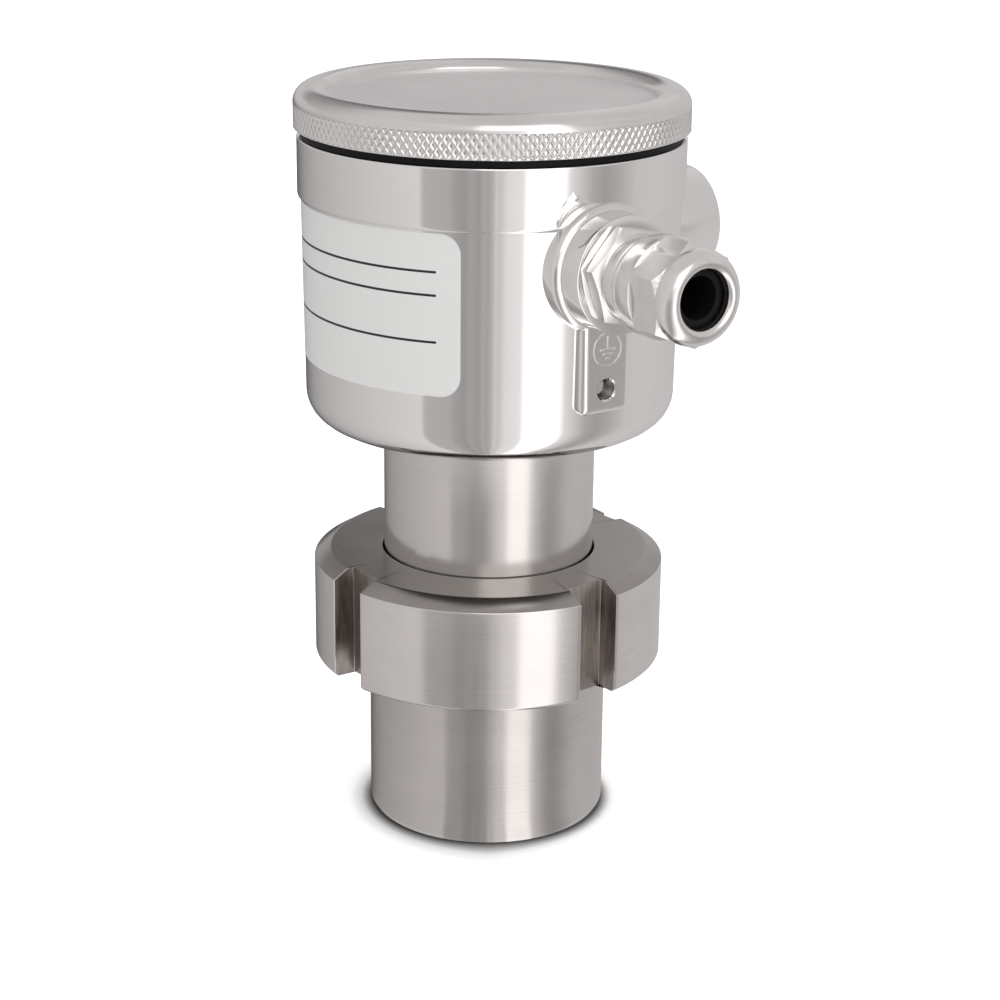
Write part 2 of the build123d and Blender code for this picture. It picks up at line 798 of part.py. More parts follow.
# Dome nut: round sleeve, hexagon, bevel and rounded nose, hollow for thread and cage
dome_start = ring_end + dome_gap
dome_end = dome_start + dome_length
nose_radius = dome_mouth + dome_lip
with BuildPart() as gland_dome_nut:
    with BuildSketch(face_plane(gland_azimuth, gland_z, dome_start)):
        RegularPolygon(dome_hex_across / 2, 6, major_radius=False, rotation=dome_hex_turn)
    extrude(amount=dome_length)
    with BuildSketch(face_plane(gland_azimuth, gland_z, dome_start)):
        Circle(dome_radius)
    extrude(amount=dome_sleeve_length)
    with BuildSketch(profile_plane(gland_azimuth, gland_z)):
        with BuildLine():
            Polyline(
                (dome_start, 0),
                (dome_start, dome_radius),
                (dome_start + dome_hex_end, dome_radius),
                (dome_start + dome_cone_end, dome_cone_radius),
            )
            EllipticalCenterArc(
                (dome_start + dome_cone_end, nose_radius),
                dome_length - dome_cone_end,
                dome_cone_radius - nose_radius,
                start_angle=0,
                arc_size=90,
            )
            RadiusArc((dome_end, nose_radius), (dome_end - dome_lip, dome_mouth), dome_lip)
            Polyline((dome_end - dome_lip, dome_mouth), (dome_end - dome_lip, 0), (dome_start, 0))
        make_face()
    revolve(axis=side_axis(gland_azimuth, gland_z), mode=Mode.INTERSECT)
    with BuildSketch(profile_plane(gland_azimuth, gland_z)):
        with BuildLine():
            Polyline(
                (dome_start, 0),
                (dome_start, gland_thread_radius + turn_gap),
                (dome_start + dome_thread_depth, gland_thread_radius + turn_gap),
                (dome_start + dome_taper_depth, dome_taper_radius),
                (dome_start + dome_throat_depth, dome_mouth),
                (dome_end, dome_mouth),
                (dome_end, 0),
                close=True,
            )
        make_face()
    revolve(axis=side_axis(gland_azimuth, gland_z), mode=Mode.SUBTRACT)
write(gland_dome_nut, "gland_dome_nut")

# Clamping cage: a ring with tapered fingers that the dome nut presses inwards
claw_start = nose_end + claw_gap
claw_end = claw_start + claw_tip_length
claw_bore = insert_radius + turn_gap
slit_length = 3 * claw_radius  # longer than the cage is wide
with BuildPart() as gland_claw:
    with BuildSketch(profile_plane(gland_azimuth, gland_z)):
        with BuildLine():
            Polyline(
                (claw_start, claw_bore),
                (claw_start, claw_radius),
                (claw_start + claw_ring_length, claw_radius),
                (claw_end, claw_tip_radius),
                (claw_end, claw_bore),
                close=True,
            )
        make_face()
    revolve(axis=side_axis(gland_azimuth, gland_z))
    for finger in range(claw_count // 2):
        with BuildSketch(face_plane(gland_azimuth, gland_z, claw_start + claw_ring_length)):
            Rectangle(claw_slit, slit_length, rotation=finger * 360 / claw_count)
        extrude(amount=claw_tip_length, mode=Mode.SUBTRACT)
write(gland_claw, "gland_claw")

# Circuit board
with BuildPart() as circuit_board:
    with BuildSketch(Plane.XY.offset(board_bottom)):
        Circle(board_radius)
        with PolarLocations(pillar_circle, pillar_count, start_angle=pillar_start):
            Circle(screw_radius + turn_gap, mode=Mode.SUBTRACT)
        with Locations((earth_pillar_x, 0)):
            Circle(earth_pillar_radius + turn_gap, mode=Mode.SUBTRACT)
    extrude(amount=board_thickness)
write(circuit_board, "circuit_board")

# Electronics cup: a deck with a skirt, bosses down to the board and openings for the controls
block_length = (terminal_count - 1) * terminal_pitch + 2 * terminal_margin
trimmer_places = [((place - 1) * trimmer_pitch, trimmer_y) for place in range(len(trimmer_names))]
with BuildPart() as electronics_cup:
    with BuildSketch(Plane.XY.offset(deck_top)):
        Circle(cup_radius)
    extrude(amount=-cup_skirt_height)
    fillet(electronics_cup.faces().sort_by(Axis.Z)[-1].edges(), cup_fillet)
    with BuildSketch(Plane.XY.offset(deck_bottom)):
        Circle(cup_radius - cup_wall)
    extrude(amount=-cup_skirt_height, mode=Mode.SUBTRACT)
    with BuildSketch(Plane.XY.offset(deck_bottom)):
        with PolarLocations(pillar_circle, pillar_count, start_angle=pillar_start):
            Circle(pillar_radius)
    extrude(amount=-part_height)
    with BuildSketch(Plane.XY.offset(deck_top)):
        with PolarLocations(pillar_circle, pillar_count, start_angle=pillar_start):
            Circle(screw_radius + turn_gap)
        with Locations((earth_pillar_x, 0)):
            Circle(earth_pillar_radius + turn_gap)
        with Locations(*trimmer_places):
            Circle(trimmer_rotor_radius + turn_gap)
        with Locations((0, terminal_y)):
            Rectangle(block_length + 2 * turn_gap, terminal_depth + 2 * turn_gap)
    extrude(amount=-(deck_thickness + part_height), mode=Mode.SUBTRACT)
write(electronics_cup, "electronics_cup")

# Three screws that clamp the cup and the board onto the pillars
with BuildPart() as module_screws:
    with BuildSketch(Plane.XY.offset(deck_top)):
        with PolarLocations(pillar_circle, pillar_count, start_angle=pillar_start):
            Circle(screw_head_radius)
    extrude(amount=screw_head_height)
    with BuildSketch(Plane.XY.offset(deck_top)):
        with PolarLocations(pillar_circle, pillar_count, start_angle=pillar_start):
            Circle(screw_radius)
    extrude(amount=-(deck_top - board_bottom + screw_grip))
    with BuildSketch(Plane.XY.offset(deck_top + screw_head_height)):
        with PolarLocations(pillar_circle, pillar_count, start_angle=pillar_start):
            Rectangle(2 * screw_head_radius, screw_slot_width)
    extrude(amount=-screw_head_height / 2, mode=Mode.SUBTRACT)
write(module_screws, "module_screws")

# Screw of the inner earth terminal
with BuildPart() as inner_earth_screw:
    with BuildSketch(Plane.XY.offset(earth_screw_top)):
        with Locations((earth_pillar_x, 0)):
            Circle(earth_head_radius)
    extrude(amount=earth_head_height)
    with BuildSketch(Plane.XY.offset(earth_screw_top)):
        with Locations((earth_pillar_x, 0)):
            Circle(earth_screw_radius)
    extrude(amount=-earth_screw_grip)
    with BuildSketch(Plane.XY.offset(earth_screw_top + earth_head_height)):
        with Locations((earth_pillar_x, 0)):
            Rectangle(2 * earth_head_radius, screw_slot_width)
    extrude(amount=-earth_head_height / 2, mode=Mode.SUBTRACT)
write(inner_earth_screw, "inner_earth_screw")

# Terminal block, standing on the board through the deck's window
block_top = deck_top + terminal_stand
block_front = terminal_y - terminal_depth / 2
cell_bottom_z = deck_top + cell_floor
cell_ceiling = cell_bottom_z + cell_room
head_seat = block_top - terminal_head_height
cage_y = block_front + cell_depth / 2
terminal_places = [(index - (terminal_count - 1) / 2) * terminal_pitch for index in range(terminal_count)]
with BuildPart() as terminal_block:
    with BuildSketch(Plane.XY.offset(board_top)):
        with Locations((0, terminal_y)):
            Rectangle(block_length, terminal_depth)
    extrude(amount=block_top - board_top)
    chamfer(terminal_block.faces().sort_by(Axis.Z)[-1].edges(), terminal_edge)
    for place in terminal_places:
        with BuildSketch(Plane.XZ.offset(-block_front)):
            with Locations((place, (cell_bottom_z + cell_ceiling) / 2)):
                Rectangle(cell_width, cell_room)
        extrude(amount=-cell_depth, mode=Mode.SUBTRACT)
        with BuildSketch(Plane.XY.offset(block_top)):
            with Locations((place, cage_y)):
                Circle(terminal_head_radius + turn_gap)
        extrude(amount=-terminal_head_height, mode=Mode.SUBTRACT)
        with BuildSketch(Plane.XY.offset(head_seat)):
            with Locations((place, cage_y)):
                Circle(terminal_screw_radius + turn_gap)
        extrude(amount=-(head_seat - cell_ceiling), mode=Mode.SUBTRACT)
write(terminal_block, "terminal_block")

# Rising cages and their screws
cage_top_z = cell_ceiling - turn_gap
for number, place in enumerate(terminal_places, start=1):
    with BuildPart() as terminal_cage:
        with BuildSketch(Plane.XY.offset(cage_top_z)):
            with Locations((place, cage_y)):
                Rectangle(cage_width, cage_length)
        extrude(amount=-cage_tall)
        with BuildSketch(Plane.XZ.offset(-(cage_y - cage_length / 2))):
            with Locations((place, cage_top_z - cage_top - (cage_tall - cage_top - cage_wall) / 2)):
                Rectangle(cage_width - 2 * cage_wall, cage_tall - cage_top - cage_wall)
        extrude(amount=-cage_length, mode=Mode.SUBTRACT)
        with BuildSketch(Plane.XY.offset(cage_top_z)):
            with Locations((place, cage_y)):
                Circle(terminal_screw_radius + turn_gap)
        extrude(amount=-cage_top, mode=Mode.SUBTRACT)
    write(terminal_cage, f"terminal_cage_{number}")
    with BuildPart() as terminal_screw:
        with BuildSketch(Plane.XY.offset(head_seat)):
            with Locations((place, cage_y)):
                Circle(terminal_head_radius)
        extrude(amount=terminal_head_height)
        with BuildSketch(Plane.XY.offset(head_seat)):
            with Locations((place, cage_y)):
                Circle(terminal_screw_radius)
        extrude(amount=-terminal_screw_length)
        with BuildSketch(Plane.XY.offset(block_top)):
            with Locations((place, cage_y)):
                Rectangle(2 * terminal_head_radius, screw_slot_width)
        extrude(amount=-terminal_head_height / 2, mode=Mode.SUBTRACT)
    write(terminal_screw, f"terminal_screw_{number}")

# Trimmers: cases on the board, rotors that show through the deck
for name, place in zip(trimmer_names, trimmer_places):
    with BuildPart() as trimmer_case:
        with BuildSketch(Plane.XY.offset(board_top)):
            with Locations(place):
                Circle(trimmer_case_radius)
        extrude(amount=part_height)
        with BuildSketch(Plane.XY.offset(deck_bottom)):
            with Locations(place):
                Circle(trimmer_rotor_radius + turn_gap)
        extrude(amount=-trimmer_pocket, mode=Mode.SUBTRACT)
    write(trimmer_case, f"trimmer_case_{name}")
    with BuildPart() as trimmer_rotor:
        with BuildSketch(Plane.XY.offset(deck_top + trimmer_stand)):
            with Locations(place):
                Circle(trimmer_rotor_radius)
        extrude(amount=-(trimmer_stand + deck_thickness + trimmer_pocket - turn_gap))
        with BuildSketch(Plane.XY.offset(deck_top + trimmer_stand)):
            with Locations(place):
                Rectangle(2 * trimmer_rotor_radius, trimmer_slot_width)
        extrude(amount=-trimmer_slot_depth, mode=Mode.SUBTRACT)
    write(trimmer_rotor, f"trimmer_rotor_{name}")
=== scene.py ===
# %% [markdown]
# # A sanitary pressure transmitter in polished and turned steel
# The frame gives the working parts at their true size. This lesson dresses them: fine turned
# meshes take the place of the coarse ones where steel mirrors its surroundings, and every
# surface gets a node material. All lengths are metres, so sizes are written in millimetres
# and multiplied by `mm`.

# %% Load the frame
from math import atan2, cos, pi, radians, sin

import bmesh
import bpy
from mathutils import Matrix, Vector


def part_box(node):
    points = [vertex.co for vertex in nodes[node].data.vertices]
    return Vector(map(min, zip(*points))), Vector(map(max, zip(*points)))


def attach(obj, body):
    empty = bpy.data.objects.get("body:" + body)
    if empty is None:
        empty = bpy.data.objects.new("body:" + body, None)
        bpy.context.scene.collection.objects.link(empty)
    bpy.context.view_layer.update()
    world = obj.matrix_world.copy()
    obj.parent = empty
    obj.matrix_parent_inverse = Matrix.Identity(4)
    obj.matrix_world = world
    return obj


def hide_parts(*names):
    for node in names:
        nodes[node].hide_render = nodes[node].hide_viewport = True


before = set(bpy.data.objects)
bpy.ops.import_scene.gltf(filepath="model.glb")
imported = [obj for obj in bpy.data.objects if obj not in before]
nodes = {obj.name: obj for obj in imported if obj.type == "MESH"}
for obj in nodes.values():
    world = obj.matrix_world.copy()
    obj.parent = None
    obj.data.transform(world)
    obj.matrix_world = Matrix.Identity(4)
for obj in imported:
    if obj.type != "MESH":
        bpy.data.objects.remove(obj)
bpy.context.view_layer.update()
mm = 0.001

# %% [markdown]
# ## Heights and radii
# A turned piece is written as a profile of radius and height in millimetres, in the frame's
# own coordinates, so it lies where its node lies. The heights that several pieces share, of
# the pot, its two side axes and the lid, are taken from the frame's boxes here.

# %% Sizes from the frame
low = {name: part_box(name)[0] for name in nodes}
high = {name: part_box(name)[1] for name in nodes}
nipple_radius = 31.0 * mm
pot_bottom = low["housing"].z
lid_top = high["lid"].z
gland_azimuth = radians(34.3)
gland_z = pot_bottom + 47.4 * mm
side_azimuth = gland_azimuth + pi / 2
side_z = pot_bottom + 44.3 * mm
print("total height mm:", round(lid_top / mm, 1))

# %% [markdown]
# ## Small tools for modelling
# A turned part is a wire profile spun about its axis. Corners of the wire are bevelled
# before the spin, which rounds the edge all the way round and catches the light like a
# broken machined edge. Side pieces are made upright too, and then laid along their axis.

# %% Side frames and finishing
def outward(azimuth):
    """Unit vector away from the pot's axis; azimuth 0 faces the camera."""
    return Vector((sin(azimuth), -cos(azimuth), 0))


def side_frame(azimuth, height):
    """Matrix that lays an upright piece along a side axis."""
    along, across = outward(azimuth), Vector((cos(azimuth), sin(azimuth), 0))
    turn = Matrix((across, Vector((0, 0, 1)), along)).transposed().to_4x4()
    return Matrix.Translation((0, 0, height)) @ turn


gland_frame = side_frame(gland_azimuth, gland_z)
boss_frame = side_frame(side_azimuth, side_z)


def settle(bm, name, smooth=35):
    """Merge, orient and shade a bmesh, and return it as an object."""
    bmesh.ops.remove_doubles(bm, verts=bm.verts, dist=0.0005 * mm)
    bmesh.ops.recalc_face_normals(bm, faces=bm.faces)
    mesh = bpy.data.meshes.new(name)
    bm.to_mesh(mesh)
    bm.free()
    mesh.shade_smooth()
    mesh.set_sharp_from_angle(angle=radians(smooth))
    piece = bpy.data.objects.new(name, mesh)
    bpy.context.scene.collection.objects.link(piece)
    return piece


def dress(piece, body, slot, material, *replaced):
    """Give a piece its material and body, and hide the nodes it stands for. The slot is not used."""
    piece.data.materials.clear()
    piece.data.materials.append(material)
    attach(piece, body)
    if replaced:
        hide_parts(*replaced)
    print(piece.name, len(piece.data.polygons), "faces")
    return piece


# %% Turning a profile
def wire(bm, profile, closed=True):
    """Draw a profile of (radius, height, rounding) in mm, rounding each corner that asks."""
    verts = [bm.verts.new((p[0] * mm, 0, p[1] * mm)) for p in profile]
    pairs = list(zip(verts, verts[1:]))
    if closed:
        pairs.append((verts[-1], verts[0]))
    for pair in pairs:
        bm.edges.new(pair)
    for vert, point in zip(verts, profile):
        if len(point) > 2 and point[2] > 0:
            steps = 2 if point[2] < 1 else 8
            bmesh.ops.bevel(
                bm, geom=[vert], offset=point[2] * mm, offset_type="OFFSET", segments=steps,
                profile=0.5, affect="VERTICES", material=-1, clamp_overlap=False,
            )


def turned(profile, steps=256, closed=True):
    """Spin a profile about Z, and return the bmesh."""
    bm = bmesh.new()
    wire(bm, profile, closed)
    bmesh.ops.spin(
        bm, geom=bm.verts[:] + bm.edges[:], cent=(0, 0, 0), axis=(0, 0, 1),
        angle=2 * pi, steps=steps, use_merge=True, use_duplicate=False,
    )
    return bm


def arc(centre, radii, start, end, steps):
    """Points of an ellipse's arc, in mm and degrees."""
    angles = [radians(start + (end - start) * i / steps) for i in range(steps + 1)]
    return [(centre[0] + radii[0] * cos(a), centre[1] + radii[1] * sin(a)) for a in angles]


def rows(radius, low_end, high_end, count):
    """Evenly spaced profile points along a straight wall, in mm."""
    return [(radius, low_end + (high_end - low_end) * i / count) for i in range(count + 1)]


def threaded(bm, radius, low_end, high_end, pitch, depth):
    """Sink a rounded helical groove into the wall of this radius, fading out at both ends."""
    for vert in bm.verts:
        here, height = (vert.co.x ** 2 + vert.co.y ** 2) ** 0.5 / mm, vert.co.z / mm
        if abs(here - radius) > 0.02 or not low_end <= height <= high_end:
            continue
        turn = atan2(vert.co.y, vert.co.x) / (2 * pi)
        wave = 0.5 - 0.5 * cos(2 * pi * (height / pitch - turn))
        fade = min(1, (height - low_end) / pitch * 2, (high_end - height) / pitch * 2)
        push = 1 - depth * wave * fade / here
        vert.co.x *= push
        vert.co.y *= push
    return bm


def lofted(rings):
    """Close a stack of rings of points (in mm) into a solid, with flat ends."""
    bm = bmesh.new()
    loops = [[bm.verts.new(Vector(p) * mm) for p in ring] for ring in rings]
    for first, second in zip(loops, loops[1:]):
        for i in range(len(first)):
            j = (i + 1) % len(first)
            bm.faces.new((first[i], first[j], second[j], second[i]))
    bm.faces.new(loops[0])
    bm.faces.new(loops[-1])
    return bm


# %% Combining solids
def combined(base, tool, operation):
    """Apply an exact boolean of two objects, and drop the tool."""
    modifier = base.modifiers.new(operation, "BOOLEAN")
    modifier.operation = operation
    modifier.solver = "EXACT"
    modifier.object = tool
    bpy.context.view_layer.update()
    whole = base.evaluated_get(bpy.context.evaluated_depsgraph_get())
    mesh = bpy.data.meshes.new_from_object(whole)
    base.modifiers.clear()
    old, base.data = base.data, mesh
    bpy.data.meshes.remove(old)
    bpy.data.objects.remove(tool)
    return base


def edged(piece, width, angle=35, segments=2):
    """Break the sharp edges of a piece with a small bevel."""
    bm = bmesh.new()
    bm.from_mesh(piece.data)
    bmesh.ops.remove_doubles(bm, verts=bm.verts, dist=0.002 * mm)
    bmesh.ops.dissolve_degenerate(bm, dist=0.002 * mm, edges=bm.edges)
    sharp = [e for e in bm.edges if len(e.link_faces) == 2 and e.calc_face_angle(0) > radians(angle)]
    bmesh.ops.bevel(
        bm, geom=sharp, offset=width * mm, offset_type="OFFSET", segments=segments,
        profile=0.5, affect="EDGES", material=-1, clamp_overlap=True,
    )
    bm.to_mesh(piece.data)
    bm.free()
    piece.data.shade_smooth()
    piece.data.set_sharp_from_angle(angle=radians(angle))
    return piece


# %% [markdown]
# ## Finishes
# Most of the metal here was turned or polished on a lathe. One node group carries what it shows:
# the fine circular scratches of the tool, and a cloudy unevenness that breaks up a perfect
# mirror. Small helpers come first, since all materials are built from the same few nodes.

# %% Node helpers
def group(name, inputs, outputs):
    """An empty shader group with named inputs (type, default) and outputs (type)."""
    tree = bpy.data.node_groups.new(name, "ShaderNodeTree")
    for label, (kind, value) in inputs.items():
        socket = tree.interface.new_socket(label, in_out="INPUT", socket_type=kind)
        socket.default_value = value
    for label, kind in outputs.items():
        tree.interface.new_socket(label, in_out="OUTPUT", socket_type=kind)
    return tree, tree.nodes.new("NodeGroupInput"), tree.nodes.new("NodeGroupOutput")


def add(tree, kind, **settings):
    """Add a node; settings are its properties."""
    node = tree.nodes.new(kind)
    for key, value in settings.items():
        setattr(node, key, value)
    return node


def feed(tree, socket, value):
    """Link a socket to an input, or set the input to a plain value."""
    if isinstance(value, bpy.types.NodeSocket):
        tree.links.new(value, socket)
    else:
        socket.default_value = value


def math_node(tree, operation, *values, clamp=False):
    """A math node from sockets or numbers, and its output."""
    node = add(tree, "ShaderNodeMath", operation=operation, use_clamp=clamp)
    for index, value in enumerate(values):
        feed(tree, node.inputs[index], value)
    return node.outputs[0]


def mixed(tree, factor, first, second):
    """A colour between two sockets or colours."""
    node = add(tree, "ShaderNodeMix", data_type="RGBA")
    for socket, value in (("Factor", factor), ("A", first), ("B", second)):
        feed(tree, node.inputs[socket], value)
    return node.outputs["Result"]


def ranged(tree, value, limits, **settings):
    """A value mapped from the first two of the limits to the last two."""
    node = add(tree, "ShaderNodeMapRange", **settings)
    tree.links.new(value, node.inputs["Value"])
    for socket, limit in zip(("From Min", "From Max", "To Min", "To Max"), limits):
        node.inputs[socket].default_value = limit
    return node.outputs["Result"]


def azimuth_of(tree, split):
    """Azimuth of a separated vector, in radians; 0 faces the camera."""
    toward = math_node(tree, "MULTIPLY", split.outputs["Y"], -1.0)
    return math_node(tree, "ARCTAN2", split.outputs["X"], toward)


def tinted_and_bumped(tree, shader, share, color, tone, height, grain):
    """Swing a shader's colour by a share of its tone, and press a height into its surface."""
    dark, light = [c * (1 - tone) for c in color] + [1], [min(1, c * (1 + tone)) for c in color] + [1]
    tree.links.new(mixed(tree, share, dark, light), shader.inputs["Base Color"])
    bump = add(tree, "ShaderNodeBump")
    bump.inputs["Strength"].default_value = 1.0
    bump.inputs["Distance"].default_value = grain * mm
    tree.links.new(height, bump.inputs["Height"])
    tree.links.new(bump.outputs["Normal"], shader.inputs["Normal"])


# %% [markdown]
# A lathe tool leaves rings, which a noise texture gives when it is squeezed along the axis.
# An image would need a place on every mesh, and a noise in object coordinates needs none.

# %% Turning marks
def turning_marks():
    """Fine rings about the pot's axis, as height and as a streak value."""
    tree, given, result = group(
        "turning_marks",
        {"Pitch": ("NodeSocketFloat", 900.0), "Around": ("NodeSocketFloat", 8.0)},
        {"Streak": "NodeSocketFloat", "Cloud": "NodeSocketFloat"},
    )
    place = add(tree, "ShaderNodeTexCoord")
    split = add(tree, "ShaderNodeSeparateXYZ")
    tree.links.new(place.outputs["Object"], split.inputs[0])
    joined = add(tree, "ShaderNodeCombineXYZ")
    for index, axis in enumerate("XY"):
        scaled = math_node(tree, "MULTIPLY", split.outputs[axis], given.outputs["Around"])
        tree.links.new(scaled, joined.inputs[index])
    tree.links.new(math_node(tree, "MULTIPLY", split.outputs["Z"], given.outputs["Pitch"]), joined.inputs[2])
    streak = add(tree, "ShaderNodeTexNoise")
    streak.inputs["Scale"].default_value = 1.0
    streak.inputs["Detail"].default_value = 4.0
    streak.inputs["Roughness"].default_value = 0.7
    tree.links.new(joined.outputs[0], streak.inputs["Vector"])
    cloud = add(tree, "ShaderNodeTexNoise")
    cloud.inputs["Scale"].default_value = 60.0
    cloud.inputs["Detail"].default_value = 3.0
    tree.links.new(place.outputs["Object"], cloud.inputs["Vector"])
    tree.links.new(streak.outputs["Fac"], result.inputs["Streak"])
    tree.links.new(cloud.outputs["Fac"], result.inputs["Cloud"])
    return tree


marks = turning_marks()
print("groups:", [g.name for g in bpy.data.node_groups])


# %% [markdown]
# The steels differ in polish, not in kind: a mirror on the pot, finer and coarser turning on
# neck, nut and nipple, and a dull lid. So one function builds them all, and the numbers
# say how fine the rings are, how deep, and how much gloss and tone wander.

# %% Metals
def metal(name, color, rough, pitch=900.0, around=8.0, grain=0.02, sway=0.08, tone=0.06):
    """A steel: turning marks and clouds move its roughness, tone and height a little."""
    material = bpy.data.materials.new(name)
    material.use_nodes = True
    tree = material.node_tree
    shader = tree.nodes["Principled BSDF"]
    shader.inputs["Metallic"].default_value = 1.0
    lathe = add(tree, "ShaderNodeGroup", node_tree=marks)
    lathe.inputs["Pitch"].default_value = pitch
    lathe.inputs["Around"].default_value = around
    swing = math_node(tree, "SUBTRACT", lathe.outputs["Streak"], 0.5)
    drift = math_node(tree, "SUBTRACT", lathe.outputs["Cloud"], 0.5)
    both = math_node(tree, "ADD", swing, drift)
    tree.links.new(math_node(tree, "MULTIPLY_ADD", both, sway, rough), shader.inputs["Roughness"])
    share = math_node(tree, "MULTIPLY_ADD", both, 2.0, 0.5, clamp=True)
    tinted_and_bumped(tree, shader, share, color, tone, lathe.outputs["Streak"], grain)
    return material


polished = metal(
    "polished_steel", (0.88, 0.875, 0.865), 0.03, pitch=90, around=40, grain=0.0008, sway=0.02, tone=0.01,
)
turned_satin = metal("turned_satin", (0.63, 0.61, 0.59), 0.20, pitch=5000, around=10, grain=0.002)
neck_satin = metal("neck_satin", (0.70, 0.68, 0.66), 0.19, pitch=3500, around=10, grain=0.0008, tone=0.04)
nut_satin = metal("nut_satin", (0.74, 0.72, 0.70), 0.16, pitch=3000, around=10, grain=0.0007, tone=0.04)
nut_top_painted_shade = metal("nut_top_painted_shade", (0.40, 0.38, 0.365), 0.20, pitch=3000, around=900, grain=0.001)
slot_steel = metal(
    "slot_steel", (0.38, 0.345, 0.32), 0.36, pitch=120, around=1600, grain=0.012, sway=0.2, tone=0.35,
)
painted_shade_steel = metal("painted_shade_steel", (0.24, 0.23, 0.22), 0.35, pitch=900, around=900, grain=0.002)
plated = metal("plated_gland", (0.88, 0.865, 0.85), 0.20, pitch=200, around=200, grain=0.0008)
lid_satin = metal(
    "lid_satin", (0.80, 0.795, 0.79), 0.55, pitch=2500, around=2500, grain=0.004, sway=0.05, tone=0.03,
)
lid_rim = metal("lid_rim", (0.82, 0.815, 0.805), 0.15, pitch=1500, around=60, grain=0.0006)
small_steel = metal("small_steel", (0.62, 0.62, 0.60), 0.3, pitch=900, around=900)
brass = metal("plated_brass", (0.78, 0.62, 0.33), 0.3, pitch=900, around=900)
foil_steel = metal("foil_steel", (0.68, 0.67, 0.65), 0.2, pitch=900, around=900, grain=0.0005)
print("metals:", len(bpy.data.materials))

# %% [markdown]
# Plastic and rubber take the fine skin of their mould. It is a small noise that moves gloss,
# tone and height together, which is enough at this size.

# %% Plastics, rubber and film
def moulded(name, color, rough, grain=0.01, size=900.0, tone=0.1, shine=0.5):
    """A moulded surface with a fine skin and a slight change of gloss."""
    material = bpy.data.materials.new(name)
    material.use_nodes = True
    tree = material.node_tree
    shader = tree.nodes["Principled BSDF"]
    shader.inputs["Specular IOR Level"].default_value = shine
    place = add(tree, "ShaderNodeTexCoord")
    skin = add(tree, "ShaderNodeTexNoise")
    skin.inputs["Scale"].default_value = size
    skin.inputs["Detail"].default_value = 3.0
    tree.links.new(place.outputs["Object"], skin.inputs["Vector"])
    level = math_node(tree, "MULTIPLY_ADD", skin.outputs["Fac"], 0.12, rough - 0.06)
    tree.links.new(level, shader.inputs["Roughness"])
    tinted_and_bumped(tree, shader, skin.outputs["Fac"], color, tone, skin.outputs["Fac"], grain)
    return material


rubber = moulded("black_rubber", (0.006, 0.006, 0.006), 0.5, shine=0.15)
nylon = moulded("dark_nylon", (0.03, 0.03, 0.032), 0.5)
cup_black = moulded("cup_black", (0.03, 0.03, 0.033), 0.45)
block_green = moulded("block_green", (0.06, 0.2, 0.11), 0.4)
board_green = moulded("board_green", (0.02, 0.14, 0.06), 0.3)
trimmer_blue = moulded("trimmer_blue", (0.03, 0.1, 0.35), 0.35)
rotor_white = moulded("rotor_white", (0.75, 0.73, 0.68), 0.4)
ribbon_grey = moulded("ribbon_grey", (0.35, 0.36, 0.38), 0.45)
print("metals, plastics and rubber:", len(bpy.data.materials))

# %% [markdown]
# ## Inner pieces
# What is sealed inside keeps its CAD mesh. It only needs a finish, so each node takes one.

# %% Finishes of the inner nodes
inner_finish = {
    "diaphragm": foil_steel, "pressure_cell": foil_steel, "sensor_ribbon": ribbon_grey,
    "sensor_o_ring": rubber, "gland_seal": rubber, "circuit_board": board_green,
    "electronics_cup": cup_black, "module_screws": small_steel, "inner_earth_screw": brass,
    "terminal_block": block_green, "blind_plug": plated, "gland_claw": nylon,
}
for name in nodes:
    if name.startswith("terminal_cage"):
        inner_finish[name] = brass
    elif name.startswith("terminal_screw"):
        inner_finish[name] = small_steel
    elif name.startswith("trimmer_case"):
        inner_finish[name] = trimmer_blue
    elif name.startswith("trimmer_rotor"):
        inner_finish[name] = rotor_white
for name, material in inner_finish.items():
    nodes[name].data.materials.clear()
    nodes[name].data.materials.append(material)
print("finished inner nodes:", len(inner_finish))

# %% [markdown]
# ## Weld nipple, neck and union nut
# These are plain lathe work. The nipple keeps its small end chamfer, and the nut's four
# slots are cut with a boolean, as a milling cutter cuts them, and then get broken edges.

# %% Weld nipple
nipple_profile = [
    (24.0, 0.0, 0.3), (30.0, 0.0, 0.15), (31.0, 1.5, 0.15), (31.0, 46.0, 0), (34.4, 46.0, 0.2),
] + rows(35.6, 47.2, 59.8, 50) + [(34.4, 61.0, 0.2), (24.0, 61.0, 0.3)]
nipple_bm = threaded(turned(nipple_profile), 35.6, 47.2, 59.8, pitch=4.2, depth=1.6)
nipple = settle(nipple_bm, "nipple_turned")
dress(nipple, "nipple", "turned_steel", turned_satin, "weld_nipple")

# %% Neck and extension
neck_profile = [
    (22.3, 0.6, 0), (23.7, 0.6, 0.2), (23.7, 6.85, 0), (21.73, 6.85, 0), (21.73, 9.15, 0),
    (23.7, 9.15, 0), (23.7, 61.0, 0), (34.9, 61.0, 0.3), (34.9, 66.0, 0.5), (27.1, 66.0, 0),
    (27.1, 106.8, 0.12), (16.0, 106.8, 0), (16.0, 110.3, 0), (12.0, 110.3, 0), (12.0, 103.8, 0),
    (24.1, 103.8, 0), (24.1, 66.0, 0), (20.7, 61.0, 0), (20.7, 13.9, 0), (1.0, 13.9, 0),
    (1.0, 1.55, 0), (21.3, 1.55, 0), (21.3, 0.85, 0), (22.3, 0.85, 0),
]
neck = settle(turned(neck_profile), "neck_turned")
dress(neck, "transmitter", "neck_steel", neck_satin, "sensor_body")

